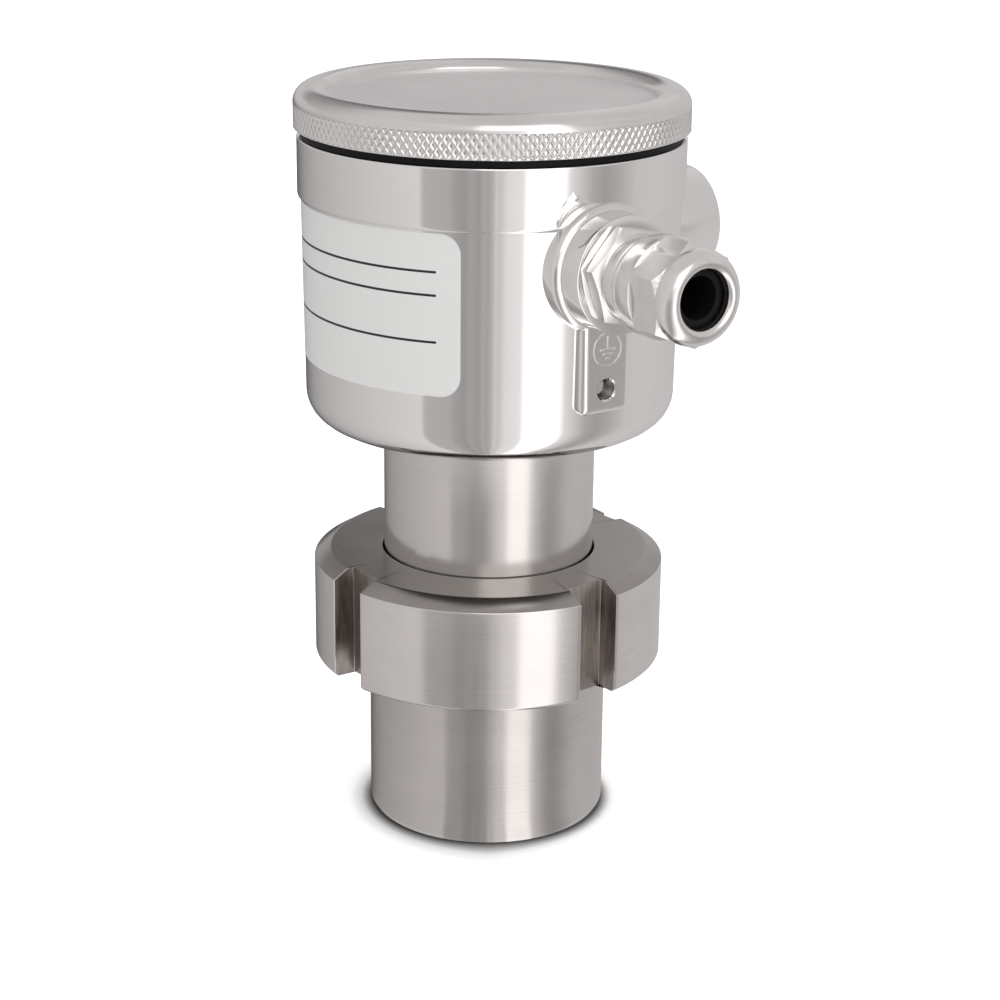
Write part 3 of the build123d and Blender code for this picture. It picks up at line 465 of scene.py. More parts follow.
# %% Union nut
nut_profile = [
    (27.55, 66.0, 0), (27.55, 71.9, 0.3), (41.0, 71.9, 0.25), (45.25, 69.4, 0.25),
    (45.25, 44.1, 0.25), (44.25, 43.1, 0.25), (36.9, 43.1, 0.2), (35.9, 44.1, 0), (35.9, 66.0, 0),
]
slot_floor, slot_width, slot_middle = 38.85, 11.3, 57.5
cutter_length, cutter_depth = 40, 10
slot_azimuths = [radians(38 + 90 * turn) for turn in range(4)]
nut = settle(turned(nut_profile), "nut_turned")
for azimuth in slot_azimuths:
    bm = bmesh.new()
    bmesh.ops.create_cube(bm, size=1.0)
    bmesh.ops.scale(bm, vec=(slot_width * mm, cutter_length * mm, cutter_depth * mm), verts=bm.verts)
    bmesh.ops.translate(bm, vec=(0, 0, (slot_floor + cutter_depth / 2) * mm), verts=bm.verts)
    bmesh.ops.transform(bm, matrix=side_frame(azimuth, slot_middle * mm), verts=bm.verts)
    nut = combined(nut, settle(bm, "slot_cutter"), "DIFFERENCE")
edged(nut, 0.25)
dress(nut, "nut", "nut_steel", nut_satin, "union_nut")

# %% [markdown]
# The nut's flat top and its chamfer are a little rougher than its wall, and painted darker as
# shade, since they lie under the pot. The slots are rougher and coloured darker. A face belongs
# to a slot when it lies between the slot's walls. The flat top is one large face, so it is shaded
# flat, or its normals would wrinkle.

# %% Nut faces
facing_up, lying_flat = 0.4, 0.999
# The top and chamfer get a darker steel: painted shade from the pot above.
nut.data.materials.append(nut_top_painted_shade)
nut.data.materials.append(slot_steel)
for face in nut.data.polygons:
    if face.normal.z > facing_up:
        face.material_index = 1
        face.use_smooth = face.normal.z < lying_flat
    for azimuth in slot_azimuths:
        along = outward(azimuth)
        across = abs(along.cross(face.center).z) / mm
        depth = along.dot(face.center) / mm
        in_slot = across < slot_width / 2 - 0.1 and depth < slot_floor + 0.5
        on_wall = abs(across - slot_width / 2) < 0.1 and abs(along.dot(face.normal)) < 0.1
        if depth > slot_floor - 0.2 and (in_slot or on_wall):
            face.material_index = 2
print("slot faces:", sum(f.material_index == 2 for f in nut.data.polygons))

# %% [markdown]
# ## Housing pot
# The pot is one polished shell, spun in one go: a wall with a slight draft, a small step up to
# the band under the lid, and a large round at the bottom. Two booleans cut the ways for the
# side tubes. Its underside lies in its own shade, which is painted on as a darker steel.

# %% Turned pot
wall_foot, wall_head = (46.75, 114.8), (47.4, 163.7)
draft = (wall_head[0] - wall_foot[0]) / (wall_head[1] - wall_foot[1])
step_out, step_rise, step_top = 0.9, 1.3, 165.2


def wall_radius(height):
    """Radius of the pot's drafted wall at a height, in mm."""
    return wall_foot[0] + draft * (height - wall_foot[1])


wall_rows = [(wall_radius(z), z) for z in (120, 126, 132, 138, 144, 150, 156, 161)]
step_arc = [
    (wall_head[0] + step_out * sin(radians(a)), step_top - step_rise * cos(radians(a)))
    for a in range(0, 91, 15)
]
pot_profile = (
    [(16.02, 106.8, 0), (46.7, 106.8, 7.9)] + wall_rows + step_arc
    + [(48.3, 172.0), (48.3, 178.6), (48.3, 179.1, 0.3), (44.0, 179.1, 0.3)]
    + [(44.0, z) for z in (170, 160, 150, 140, 130, 120)] + [(44.0, 110.3, 4.6), (16.02, 110.3, 0)]
)
pot = settle(turned(pot_profile), "pot_polished")


# %% Ways for the side tubes
def side_turned(profile, place, name, steps=128, closed=True):
    """Turn a profile of (radius, station) about a side axis."""
    bm = turned(profile, steps=steps, closed=closed)
    bmesh.ops.transform(bm, matrix=place, verts=bm.verts)
    return settle(bm, name)


def round_bar(radius, bottom, top, place, name):
    """A closed bar about a side axis."""
    profile = [(0, bottom), (radius, bottom), (radius, top), (0, top)]
    return side_turned(profile, place, name, closed=False)


for place in (gland_frame, boss_frame):
    pot = combined(pot, round_bar(9.4, 30.0, 60.0, place, "wall_hole"), "DIFFERENCE")
pot.data.shade_smooth()
pot.data.set_sharp_from_angle(angle=radians(28))
dress(pot, "transmitter", "polished_steel", polished, "housing")
# The underside's faces take a darker steel: painted shade.
pot.data.materials.append(painted_shade_steel)
facing_down, underside_top = -0.97, 107.2 * mm
for face in pot.data.polygons:
    if face.normal.z < facing_down and face.center.z < underside_top:
        face.material_index = 1

# %% [markdown]
# ## Pad and bosses
# The keyhole pad is a flat outline pulled out into a block. Its front edge is rounded, and
# its back is bent to the pot, so that it sinks into the wall by the same depth everywhere.

# %% Keyhole outline
pad_radius, tongue_half, tongue_bottom, pad_face = 15.9, 7.2, -35.2, 49.4
join_angle = atan2(-((pad_radius ** 2 - tongue_half ** 2) ** 0.5), tongue_half)
sweep_angle = 2 * pi - 2 * (pi / 2 + join_angle)
pad_angles = [join_angle + sweep_angle * i / 96 for i in range(97)]
pad_outline = [(pad_radius * cos(angle), pad_radius * sin(angle)) for angle in pad_angles]
corner = 2.2
for side, first in ((-1, 180), (1, 270)):
    pad_outline += [
        (side * (tongue_half - corner) + corner * cos(radians(first + 15 * i)),
         tongue_bottom + corner + corner * sin(radians(first + 15 * i)))
        for i in range(7)
    ]


def prism(outline, bottom, top):
    """Extrude a closed outline of (x, y) in mm between two stations, upright."""
    bm = bmesh.new()
    face = bm.faces.new([bm.verts.new((x * mm, y * mm, bottom * mm)) for x, y in outline])
    grown = bmesh.ops.extrude_face_region(bm, geom=[face])["geom"]
    moved = [v for v in grown if isinstance(v, bmesh.types.BMVert)]
    bmesh.ops.translate(bm, vec=(0, 0, (top - bottom) * mm), verts=moved)
    return bm


def front_rounded(bm, station, width, segments=6):
    """Round the edges around an upright block's front face."""
    rim = [e for e in bm.edges if all(abs(v.co.z - station * mm) < 0.01 * mm for v in e.verts)]
    bmesh.ops.bevel(
        bm, geom=rim, offset=width * mm, offset_type="OFFSET", segments=segments,
        profile=0.5, affect="EDGES", material=-1, clamp_overlap=False,
    )
    return bm


# %% Pad block
pad_back, pad_back_radius = 30.0, 45.6
pad_bm = front_rounded(prism(pad_outline, pad_back, pad_face), pad_face, 1.8)
for cut in range(-15, 16):
    bmesh.ops.bisect_plane(
        pad_bm, geom=pad_bm.verts[:] + pad_bm.edges[:] + pad_bm.faces[:],
        plane_co=(cut * mm, 0, 0), plane_no=(1, 0, 0),
    )
for vert in pad_bm.verts:
    if vert.co.z < (pad_back + 1) * mm:
        vert.co.z = ((pad_back_radius * mm) ** 2 - vert.co.x ** 2) ** 0.5
bmesh.ops.transform(pad_bm, matrix=gland_frame, verts=pad_bm.verts)
pad = settle(pad_bm, "keyhole_pad")
pad = combined(pad, round_bar(12.0, 30.0, 60.0, gland_frame, "pad_way"), "DIFFERENCE")

# %% [markdown]
# The earth hole is tapped through the tongue. Steps in the cutter's wall stand for the
# thread. Its inside is dull, since no polishing wheel reaches it, and is painted darker as shade.

# %% Earth hole
earth_frame = side_frame(gland_azimuth, gland_z - 29.2 * mm)
thread_steps = [(2.5 if i % 2 else 2.05, 45.0 + 0.4 * i) for i in range(10)]
earth_profile = [(0, 44.9), (2.3, 44.9)] + thread_steps + [(2.5, 49.0), (3.1, 49.6), (0, 49.6)]
earth_cutter = side_turned(earth_profile, earth_frame, "earth_hole", steps=64, closed=False)
pad = combined(pad, earth_cutter, "DIFFERENCE")
pad.data.shade_smooth()
pad.data.set_sharp_from_angle(angle=radians(30))
dress(pad, "transmitter", "polished_steel", polished, "earth_tongue")
# The hole's inside takes the darker steel: painted shade.
pad.data.materials.append(painted_shade_steel)
hole_radius = 2.6 * mm
for face in pad.data.polygons:
    inside = earth_frame.inverted() @ face.center
    if (inside.x ** 2 + inside.y ** 2) ** 0.5 < hole_radius:
        face.material_index = 1

# %% [markdown]
# The floor of the earth hole is the plug behind the tongue, and the tubes of both bosses run
# through the wall, so each gets its own small solid.

# %% Plug and bosses
plug_profile = [(0, 43.9), (5.0, 43.9), (5.0, 45.5), (2.6, 45.5), (2.6, 45.0), (0, 45.0)]
plug = side_turned(plug_profile, earth_frame, "earth_plug", closed=False)
dress(plug, "transmitter", "screw_steel", small_steel)
gland_profile = [
    (10.05, 42.0), (14.2, 42.0), (14.2, 56.0, 0.3), (10.9, 56.0), (10.9, 55.0), (10.05, 55.0),
]
gland_tube = side_turned(gland_profile, gland_frame, "gland_tube")
dress(gland_tube, "transmitter", "polished_steel", polished, "gland_boss")
side_profile = [(10.05, 42.0), (14.25, 42.0), (14.25, 62.6, 0.4), (10.4, 62.6, 0.1), (10.05, 62.2)]
side_tube = side_turned(side_profile, boss_frame, "side_tube")
dress(side_tube, "transmitter", "polished_steel", polished, "side_boss")

# %% [markdown]
# The earth sign stands a little proud of the tongue: a stem over three bars, in a ring. On
# such plates it is struck or welded on. Small bevelled bars catch the light at their edges.

# %% Earth symbol
def bar(wide, tall, y, depth=0.14):
    """A small bevelled bar that lies on the tongue's face."""
    bm = bmesh.new()
    bmesh.ops.create_cube(bm, size=1.0)
    bmesh.ops.scale(bm, vec=(wide * mm, tall * mm, 2 * depth * mm), verts=bm.verts)
    bmesh.ops.bevel(
        bm, geom=bm.edges[:], offset=0.08 * mm, offset_type="OFFSET", segments=2, profile=0.5,
        affect="EDGES", material=-1, clamp_overlap=True,
    )
    bmesh.ops.translate(bm, vec=(0, y * mm, pad_face * mm), verts=bm.verts)
    bmesh.ops.transform(bm, matrix=gland_frame, verts=bm.verts)
    return settle(bm, "earth_bar")


symbol_height = 135.0 * mm
symbol_y = (symbol_height - gland_z) / mm
for wide, tall, rise in ((0.5, 3.2, 1.7), (4.6, 0.5, 0), (2.8, 0.5, -1.1), (1.1, 0.5, -2.2)):
    dress(bar(wide, tall, symbol_y + rise), "transmitter", "polished_steel", polished)
ring_frame = side_frame(gland_azimuth, symbol_height)
ring_profile = [(3.8, 49.3), (3.8, 49.54, 0.08), (4.25, 49.54, 0.08), (4.25, 49.3)]
dress(side_turned(ring_profile, ring_frame, "earth_ring"), "transmitter", "polished_steel", polished)

# %% [markdown]
# ## Lid and seal
# The lid is one turned piece: a threaded skirt that goes into the pot, a grip band, a rounded
# shoulder and a shallow dish. The dish is dull in the photograph, so it takes its own steel.

# %% Lid body
shoulder = arc((44.5, 187.2), (4.6, 4.1), 0, 90, 14)
dish = arc((44.5, 188.4), (4.0, 2.9), 90, 180, 12)[1:]
lid_profile = (
    [(0, 184.9), (40.7, 184.9)] + rows(40.7, 184.0, 169.0, 3)
    + [(40.7, 168.9), (42.9, 168.9), (43.7, 169.7)] + rows(43.7, 169.9, 180.7, 54)
    + [(43.7, 180.9), (48.4, 180.9, 0.1), (48.6, 181.2), (48.6, 187.2)]
    + shoulder + dish + [(0, 188.4)]
)
lid_bm = threaded(turned(lid_profile, closed=False), 43.7, 169.7, 180.8, pitch=2.0, depth=0.5)
lid = settle(lid_bm, "lid_turned")
print("lid faces:", len(lid.data.polygons))

# %% [markdown]
# The grip band carries a diamond knurl, which a pair of wheels rolls into it. Here two families
# of grooves cross on a dense grid, and each vertex is moved inwards by the depth of the grooves
# there. Displacement in the material would not be exported, so the mesh has it.

# %% Knurl
knurl_radius, knurl_count, knurl_depth, knurl_low, knurl_high = 49.1, 148, 0.4, 181.2, 187.2
knurl_lean, knurl_fade, ridge_width = 0.7, 0.35, 2.2
columns, levels = knurl_count * 12, 30
bm = bmesh.new()
strip = [bm.verts.new((x * mm, 0, z * mm)) for x, z in rows(knurl_radius, knurl_low, knurl_high, levels)]
for pair in zip(strip, strip[1:]):
    bm.edges.new(pair)
bmesh.ops.spin(
    bm, geom=bm.verts[:] + bm.edges[:], cent=(0, 0, 0), axis=(0, 0, 1), angle=2 * pi,
    steps=columns, use_merge=True, use_duplicate=False,
)
diamond = 2 * pi * knurl_radius / knurl_count
for vert in bm.verts:
    turn = atan2(vert.co.y, vert.co.x) * knurl_radius
    height = vert.co.z / mm
    ridge = 0
    for lean in (knurl_lean, -knurl_lean):
        phase = (turn + lean * (height - knurl_low)) / diamond
        away = abs(phase - round(phase)) * 2
        ridge = max(ridge, 1 - away * ridge_width)
    fade = min(1, (height - knurl_low) / knurl_fade, (knurl_high - height) / knurl_fade)
    push = 1 - knurl_depth * (1 - ridge) * max(0, fade) / knurl_radius
    vert.co.x *= push
    vert.co.y *= push
grip = settle(bm, "lid_knurl", smooth=60)
dress(grip, "lid", "lid_steel", lid_rim)
dress(lid, "lid", "lid_steel", lid_rim, "lid")
lid.data.materials.append(lid_satin)
dish_height, dish_radius = 188.0 * mm, 40.6 * mm
for face in lid.data.polygons:
    at = face.center
    if at.z > dish_height and (at.x ** 2 + at.y ** 2) ** 0.5 < dish_radius:
        face.material_index = 1

# %% Seal ring
seal_profile = [(44.3, 179.1, 0.1), (47.5, 179.1, 0.3), (47.5, 180.9, 0.3), (44.3, 180.9, 0.1)]
seal = settle(turned(seal_profile), "seal_ring")
dress(seal, "lid_ring", "rubber_black", rubber, "lid_seal")

# %% [markdown]
# ## Cable gland
# A gland hexagon is a prism whose corners a lathe has bevelled. The thin one is a stack of
# rings, and where the ring's height follows its radius, the bevel ends in the same curves as
# on the real one. A cone cut by a boolean would leave long, badly shaded faces there.

# %% Hexagon rings
def hex_ring(across, turn, station, points=96):
    """Points of a hexagon; its station is a number, or a function of the point's radius."""
    ring = []
    for i in range(points):
        angle = 2 * pi * i / points + radians(turn)
        nearest = radians(turn + 30 + 60 * ((i * 6) // points))
        reach = across / 2 / cos(angle - nearest)
        height = station(reach) if callable(station) else station
        ring.append((reach * cos(angle), reach * sin(angle), height))
    return ring


def round_ring(radius, station, turn, points=96):
    """Points of a circle that start at the same angle as a hexagon's."""
    angles = [2 * pi * i / points + radians(turn) for i in range(points)]
    return [(radius * cos(angle), radius * sin(angle), station) for angle in angles]


# %% Gland body
hex_across, body_turn, dome_turn = 22.0, 48.0, 37.0
bevel_from, bevel_slope, hex_back, hex_front = 10.55, 0.42, 56.0, 60.0
body_hex_bm = lofted([
    round_ring(9.9, hex_back, body_turn), round_ring(bevel_from, hex_back, body_turn),
    hex_ring(hex_across, body_turn, lambda reach: hex_back + (reach - bevel_from) * bevel_slope),
    hex_ring(hex_across, body_turn, lambda reach: hex_front - (reach - bevel_from) * bevel_slope),
    round_ring(bevel_from, hex_front, body_turn), round_ring(9.9, hex_front, body_turn),
])
bmesh.ops.transform(body_hex_bm, matrix=gland_frame, verts=body_hex_bm.verts)
body_hex = settle(body_hex_bm, "body_hex", smooth=18)
body_hex = combined(body_hex, round_bar(9.5, 50.0, 62.0, gland_frame, "core"), "DIFFERENCE")
body_hex.data.set_sharp_from_angle(angle=radians(18))
body_profile = [
    (6.5, 43.4, 0), (10.0, 43.4, 0.3), (10.0, 59.8, 0), (10.2, 60.0, 0), (10.2, 63.4, 0.2), (9.6, 63.4, 0),
    (9.6, 64.2, 0), (11.0, 64.2, 0.35), (11.0, 66.0, 0.35), (10.0, 66.0, 0),
] + rows(10.0, 66.2, 73.2, 42) + [(9.6, 74.0, 0.1), (7.3, 74.0, 0.2), (7.3, 66.0, 0), (6.5, 66.0, 0)]
body_bm = threaded(turned(body_profile, steps=128), 10.0, 66.1, 73.3, pitch=1.5, depth=0.55)
bmesh.ops.transform(body_bm, matrix=gland_frame, verts=body_bm.verts)
body_turned = settle(body_bm, "gland_turned")
dress(body_hex, "transmitter", "gland_metal", plated)
dress(body_turned, "transmitter", "gland_metal", plated, "gland_body")

# %% [markdown]
# The dome nut is a hexagon with a short round collar behind it and a domed nose in front. It is
# built in that order: a prism joined to a sleeve, cut down by a turned body, given its nose
# and bored. Its large flats are shaded flat, so that they mirror as planes.

# %% Dome nut
dome_bm = lofted([hex_ring(hex_across, dome_turn, 66.5), hex_ring(hex_across, dome_turn, 81.0)])
bmesh.ops.transform(dome_bm, matrix=gland_frame, verts=dome_bm.verts)
dome = settle(dome_bm, "dome_hex")
sleeve = [(0, 66.4), (12.0, 66.4), (12.0, 71.9, 0.1), (0, 71.9)]
dome = combined(dome, side_turned(sleeve, gland_frame, "sleeve", closed=False), "UNION")
outer = [(0, 66.5), (11.95, 66.5, 0.8), (11.95, 72.2), (12.75, 72.2), (12.75, 80.0), (11.2, 81.0), (0, 81.0)]
dome = combined(dome, side_turned(outer, gland_frame, "dome_outer", closed=False), "INTERSECT")
nose = [(0, 80.0), (11.05, 80.0), (11.05, 81.1), (11.3, 81.3)] + arc((8.4, 81.3), (2.9, 4.3), 0, 90, 12)[1:]
nose += arc((8.37, 84.1), (1.5, 1.5), 90, 180, 8) + [(6.87, 83.3), (0, 83.3)]
dome = combined(dome, side_turned(nose, gland_frame, "dome_nose", closed=False), "UNION")
dome_inner = [(0, 66.0), (10.3, 66.0), (10.3, 77.5), (7.9, 82.5), (6.88, 83.25), (6.88, 84.2), (0, 84.2)]
dome = combined(dome, side_turned(dome_inner, gland_frame, "dome_inner", closed=False), "DIFFERENCE")
dome = edged(dome, 0.15, angle=24)
large_flat = 20 * mm ** 2
for face in dome.data.polygons:
    face.use_smooth = face.area < large_flat
dome.name = "dome_nut"
dress(dome, "dome_nut", "gland_metal", plated, "gland_dome_nut")

# %% Rubber insert
insert_profile = [(4.9, 66.0, 0), (7.2, 66.0, 0), (7.2, 82.6, 0.5), (4.9, 82.6, 0.7)]
insert = side_turned(insert_profile, gland_frame, "rubber_insert")
dress(insert, "transmitter", "rubber_black", rubber, "gland_insert")

# %% [markdown]
# ## Label
# The label is a flat rounded card. It is cut into narrow strips, so that it can be bent
# round the pot, and given a thickness. Its three writing lines are part of its material.

# %% Label card
label_right, label_sweep = -8.5, 91.5
label_low, label_high = low["label"].z / mm, high["label"].z / mm
label_radius, label_corner, label_strips = 47.4, 5.0, 96
card_gap, card_thickness = 0.06, 0.14
card_width = radians(label_sweep) * label_radius
bm = bmesh.new()
bmesh.ops.create_grid(bm, x_segments=1, y_segments=1, size=0.5)
bmesh.ops.scale(bm, vec=(card_width, label_high - label_low, 1), verts=bm.verts)
bmesh.ops.bevel(
    bm, geom=bm.verts[:], offset=label_corner, offset_type="OFFSET", segments=10, profile=0.5,
    affect="VERTICES", material=-1, clamp_overlap=False,
)
for cut in range(1, label_strips):
    at = -card_width / 2 + card_width * cut / label_strips
    bmesh.ops.bisect_plane(
        bm, geom=bm.verts[:] + bm.edges[:] + bm.faces[:], plane_co=(at, 0, 0), plane_no=(1, 0, 0),
    )
middle = (label_low + label_high) / 2
for vert in bm.verts:
    azimuth = radians(label_right) - (card_width / 2 - vert.co.x) / label_radius
    height = middle + vert.co.y
    radius = wall_radius(height) + card_gap
    vert.co = outward(azimuth) * radius * mm + Vector((0, 0, height * mm))
bmesh.ops.recalc_face_normals(bm, faces=bm.faces)
bmesh.ops.solidify(bm, geom=bm.faces[:], thickness=-card_thickness * mm)
label_card = settle(bm, "label_card")

# %% [markdown]
# The film is pale and a little glossy. Its three writing lines are printed, with no thickness
# of their own, so the material draws them from the height and the azimuth of the point.

# %% Label film
line_heights, line_half, line_left, line_right = (154.3, 148.7, 137.4), 0.3, -93.0, -15.65


def film():
    """Pale film with three thin printed lines."""
    material = moulded("label_film", (0.735, 0.73, 0.72), 0.32, grain=0.001, tone=0.015)
    tree = material.node_tree
    shader = tree.nodes["Principled BSDF"]
    place = add(tree, "ShaderNodeTexCoord")
    split = add(tree, "ShaderNodeSeparateXYZ")
    tree.links.new(place.outputs["Object"], split.inputs[0])
    lines = None
    for height in line_heights:
        away = math_node(tree, "ABSOLUTE", math_node(tree, "SUBTRACT", split.outputs["Z"], height * mm))
        line = math_node(tree, "LESS_THAN", away, line_half * mm)
        lines = line if lines is None else math_node(tree, "MAXIMUM", lines, line)
    across = azimuth_of(tree, split)
    ended = math_node(tree, "LESS_THAN", across, radians(line_right))
    begun = math_node(tree, "GREATER_THAN", across, radians(line_left))
    mask = math_node(tree, "MULTIPLY", lines, math_node(tree, "MULTIPLY", ended, begun))
    pale = shader.inputs["Base Color"].links[0].from_socket
    tree.links.new(mixed(tree, mask, pale, (0.012, 0.012, 0.014, 1)), shader.inputs["Base Color"])
    return material


dress(label_card, "transmitter", "label_film", film(), "label")

# %% [markdown]
# ## Floor, light and camera
# The photograph is a high-key studio shot: a white floor with a soft contact shadow, and a
# light tent whose slit and edges show as upright bands in the polished pot. The floor is a
# plain plane, staged so that it does not count as a piece of the part.

# %% Floor
bm = bmesh.new()
bmesh.ops.create_grid(bm, x_segments=1, y_segments=1, size=4.0)
floor = settle(bm, "floor")

# %% [markdown]
# What a mirror shows is most of what polished steel looks like. Three rows of upright bands
# stand one above the other, for directions that point down, level and up, and a plain
# ceiling closes the tent. Both the world and the floor use them, so they are a group.
# Each ramp ends at the value it starts with, or a seam would show at the back.

# %% Bands of the light tent
def tent_bands():
    """Light of the tent by direction, as a group that both the world and the floor use."""
    tree, given, result = group(
        "tent_bands", {"Direction": ("NodeSocketVector", (0, 0, 0))}, {"Light": "NodeSocketColor"},
    )
    split = add(tree, "ShaderNodeSeparateXYZ")
    tree.links.new(given.outputs["Direction"], split.inputs[0])
    share = math_node(tree, "MULTIPLY_ADD", azimuth_of(tree, split), 1 / (2 * pi), 0.5)
    low_stops = [
        (-180, 0.28), (-173, 0.1), (-160, 0.16), (-140, 0.36), (-124, 0.46), (-100, 0.55), (-42, 0.72),
        (-39, 0.48), (-24, 0.45), (-22, 0.4), (-15, 0.35), (-12, 0.41), (-7, 0.36), (-4, 0.45), (-2, 0.4),
        (1, 0.5), (3, 0.68), (5, 0.6), (9, 0.8), (18, 0.88), (21, 1.42), (41, 1.42), (46, 0.8), (60, 0.45),
        (68, 0.38), (77, 0.44), (92, 0.6), (110, 0.62), (150, 0.56), (172, 0.5), (180, 0.28),
    ]
    middle_stops = [
        (-180, 0.58), (-100, 0.6), (-40, 0.68), (-12, 0.55), (-2, 0.8), (18, 1.0), (21, 1.5), (42, 1.5),
        (50, 0.7), (90, 0.6), (180, 0.58),
    ]
    high_stops = [
        (-180, 0.4), (-175, 0.14), (-165, 0.28), (-125, 0.5), (-95, 0.62), (-40, 0.66), (-12, 0.72),
        (-5, 1.5), (42, 1.5), (50, 0.62), (90, 0.6), (130, 0.6), (174, 0.68), (180, 0.4),
    ]
    warmth, ceiling = 0.965, (0.6, 0.58, 0.58, 1)
    rows_of_bands = []
    for stops in (low_stops, middle_stops, high_stops):
        bands = add(tree, "ShaderNodeValToRGB")
        tree.links.new(share, bands.inputs["Fac"])
        ramp = bands.color_ramp
        while len(ramp.elements) < len(stops):
            ramp.elements.new(0.5)
        for element, (azimuth, value) in zip(ramp.elements, stops):
            element.position = azimuth / 360 + 0.5
            element.color = (value, value * warmth, value * warmth, 1)
        rows_of_bands.append(bands.outputs["Color"])
    light, middle_row, high_row = rows_of_bands
    for start, end, upper in ((-0.12, 0.06, middle_row), (0.2, 0.32, high_row), (0.65, 0.85, ceiling)):
        limits = (start, end, 0.0, 1.0)
        rise = ranged(tree, split.outputs["Z"], limits, interpolation_type="SMOOTHSTEP")
        light = mixed(tree, rise, light, upper)
    tree.links.new(light, result.inputs["Light"])
    return tree


bands_group = tent_bands()
print("groups:", [g.name for g in bpy.data.node_groups])

# %% [markdown]
# For the camera the floor is white paper. Close to the foot its colour is darkened, a painted
# contact shadow, as under a soft light from all round, and farther out it is lifted to the white
# of the background, which takes away the wide shadow that the photograph does not have. Mirrors
# see the tent's bands in the floor's place. A point of the floor is seen in the nipple under a
# heading of its own, which three rounds of a small correction find well enough.

# %% Floor numbers
floor_white, band_slope, side_stretch = 0.97, -0.14, 1.3
lift_limits = (0.001, 0.016, 0.0, 0.42)
# Painted contact shadow: the floor's colour darkens towards the foot.
painted_shadow_limits = (-0.0005, 0.006, 0.12, 1.0)


# %% Floor material
def floor_heading(tree, around, distance):
    """Heading under which the upright nipple mirrors a point of the floor."""
    outside = math_node(tree, "MAXIMUM", distance, nipple_radius)
    near = math_node(tree, "DIVIDE", nipple_radius, outside)
    heading = around
    for _ in range(3):
        half = math_node(tree, "SINE", math_node(tree, "MULTIPLY", heading, 0.5))
        offset = math_node(tree, "ARCSINE", math_node(tree, "MULTIPLY", near, half))
        heading = math_node(tree, "ADD", around, offset)
    return math_node(tree, "MINIMUM", math_node(tree, "MAXIMUM", heading, -pi), pi)


def floor_material():
    """White floor with a painted contact shadow; mirrors see the tent's bands in its place."""
    material = bpy.data.materials.new("floor_white")
    material.use_nodes = True
    tree = material.node_tree
    shader = tree.nodes["Principled BSDF"]
    shader.inputs["Roughness"].default_value = 0.9
    shader.inputs["Specular IOR Level"].default_value = 0.0
    rays = add(tree, "ShaderNodeLightPath")
    seen_glossy = rays.outputs["Is Glossy Ray"]
    plain = mixed(tree, seen_glossy, (floor_white, floor_white, floor_white, 1), (0, 0, 0, 1))
    place = add(tree, "ShaderNodeTexCoord")
    split = add(tree, "ShaderNodeSeparateXYZ")
    tree.links.new(place.outputs["Object"], split.inputs[0])
    squares = [math_node(tree, "POWER", split.outputs[axis], 2.0) for axis in "XY"]
    distance = math_node(tree, "SQRT", math_node(tree, "ADD", *squares))
    heading = floor_heading(tree, azimuth_of(tree, split), distance)
    ahead = add(tree, "ShaderNodeCombineXYZ")
    sideward = math_node(tree, "MULTIPLY", math_node(tree, "SINE", heading), distance)
    back = math_node(tree, "MULTIPLY", math_node(tree, "COSINE", heading), -1.0)
    tree.links.new(sideward, ahead.inputs["X"])
    tree.links.new(math_node(tree, "MULTIPLY", back, distance), ahead.inputs["Y"])
    ahead.inputs["Z"].default_value = band_slope
    away = add(tree, "ShaderNodeVectorMath", operation="NORMALIZE")
    tree.links.new(ahead.outputs[0], away.inputs[0])
    tent_light = add(tree, "ShaderNodeGroup", node_tree=bands_group)
    tree.links.new(away.outputs["Vector"], tent_light.inputs["Direction"])
    glow = mixed(tree, seen_glossy, (1, 1, 1, 1), tent_light.outputs["Light"])
    tree.links.new(glow, shader.inputs["Emission Color"])
    sideways = math_node(tree, "DIVIDE", math_node(tree, "ABSOLUTE", split.outputs["X"]), distance)
    stretch = math_node(tree, "MULTIPLY_ADD", sideways, side_stretch, 1.0)
    past_nipple = math_node(tree, "SUBTRACT", distance, nipple_radius)
    beyond = math_node(tree, "MULTIPLY", past_nipple, stretch)
    # Near the foot the floor's colour is scaled down: a painted contact shadow.
    tinted = add(tree, "ShaderNodeVectorMath", operation="SCALE")
    tree.links.new(plain, tinted.inputs[0])
    tree.links.new(ranged(tree, beyond, painted_shadow_limits), tinted.inputs["Scale"])
    tree.links.new(tinted.outputs["Vector"], shader.inputs["Base Color"])
    clear = ranged(tree, beyond, lift_limits, interpolation_type="SMOOTHSTEP")
    lift = math_node(tree, "MULTIPLY_ADD", rays.outputs["Is Camera Ray"], clear, seen_glossy)
    tree.links.new(lift, shader.inputs["Emission Strength"])
    return material


floor.data.materials.append(floor_material())
print("floor material:", floor.data.materials[0].name)

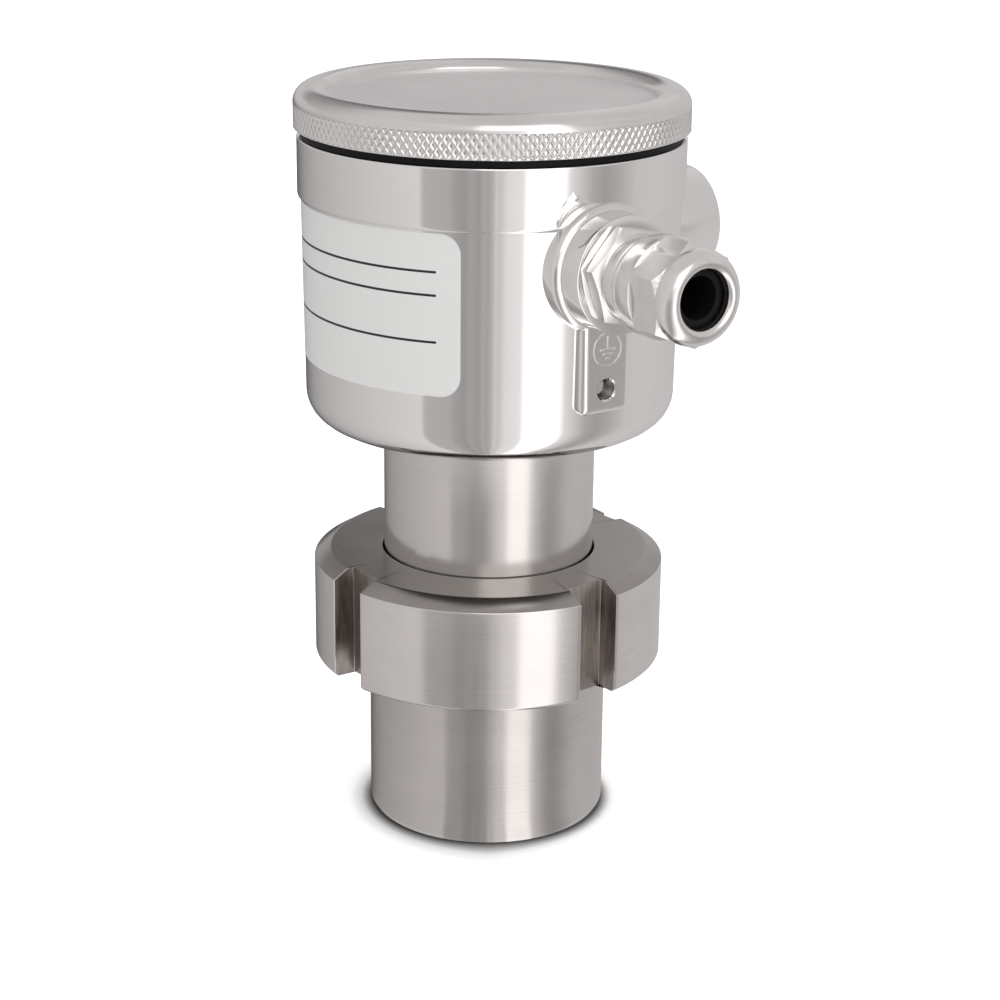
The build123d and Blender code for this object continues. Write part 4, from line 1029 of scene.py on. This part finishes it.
# %% [markdown]
# The tent's cloth lights the part softly from all round, and more from the right than from
# the left, as in the photograph. The camera sees that same light: it is white behind the part
# in the photograph's view, and turns grey towards the left side. Mirrors see the bands.

# %% World
light_level, light_side = 1.06, 0.6


def tent():
    """White light from all round; mirrors see the tent's bands."""
    world = bpy.data.worlds.new("tent")
    bpy.context.scene.world = world
    world.use_nodes = True
    tree = world.node_tree
    place = add(tree, "ShaderNodeTexCoord")
    rays = add(tree, "ShaderNodeLightPath")
    tent_light = add(tree, "ShaderNodeGroup", node_tree=bands_group)
    tree.links.new(place.outputs["Generated"], tent_light.inputs["Direction"])
    split = add(tree, "ShaderNodeSeparateXYZ")
    tree.links.new(place.outputs["Generated"], split.inputs[0])
    side = math_node(tree, "MULTIPLY_ADD", split.outputs["X"], light_side, light_level)
    seen = mixed(tree, rays.outputs["Is Glossy Ray"], side, tent_light.outputs["Light"])
    tree.links.new(seen, tree.nodes["Background"].inputs["Color"])


tent()
print("world:", bpy.context.scene.world.name)

# %% [markdown]
# The camera was solved from the ellipses that the turned edges make in the photograph. Its
# focal length is in pixels there, for a picture 1000 pixels wide, and the lens follows.

# %% Camera
focal_pixels, picture_width = 2390.8, 1000
eye = Vector((0, -589.2, 279.9)) * mm
pitch, roll, yaw = radians(18.432), radians(0.630), radians(0.285)
forward = Vector((sin(yaw) * cos(pitch), cos(yaw) * cos(pitch), -sin(pitch)))
right = Vector((cos(yaw), -sin(yaw), 0))
up = right.cross(forward)
rolled_right = cos(roll) * right + sin(roll) * up
rolled_up = -sin(roll) * right + cos(roll) * up
camera = bpy.data.objects.new("camera", bpy.data.cameras.new("camera"))
camera.data.sensor_width = 36.0
camera.data.lens = 36.0 * focal_pixels / picture_width
camera.data.clip_start = 0.01
bpy.context.scene.collection.objects.link(camera)
turn = Matrix((rolled_right, rolled_up, -forward)).transposed().to_4x4()
camera.matrix_world = Matrix.Translation(eye) @ turn
bpy.context.scene.camera = camera
bpy.context.scene.view_settings.view_transform = "Standard"
print("lens:", round(camera.data.lens, 2))
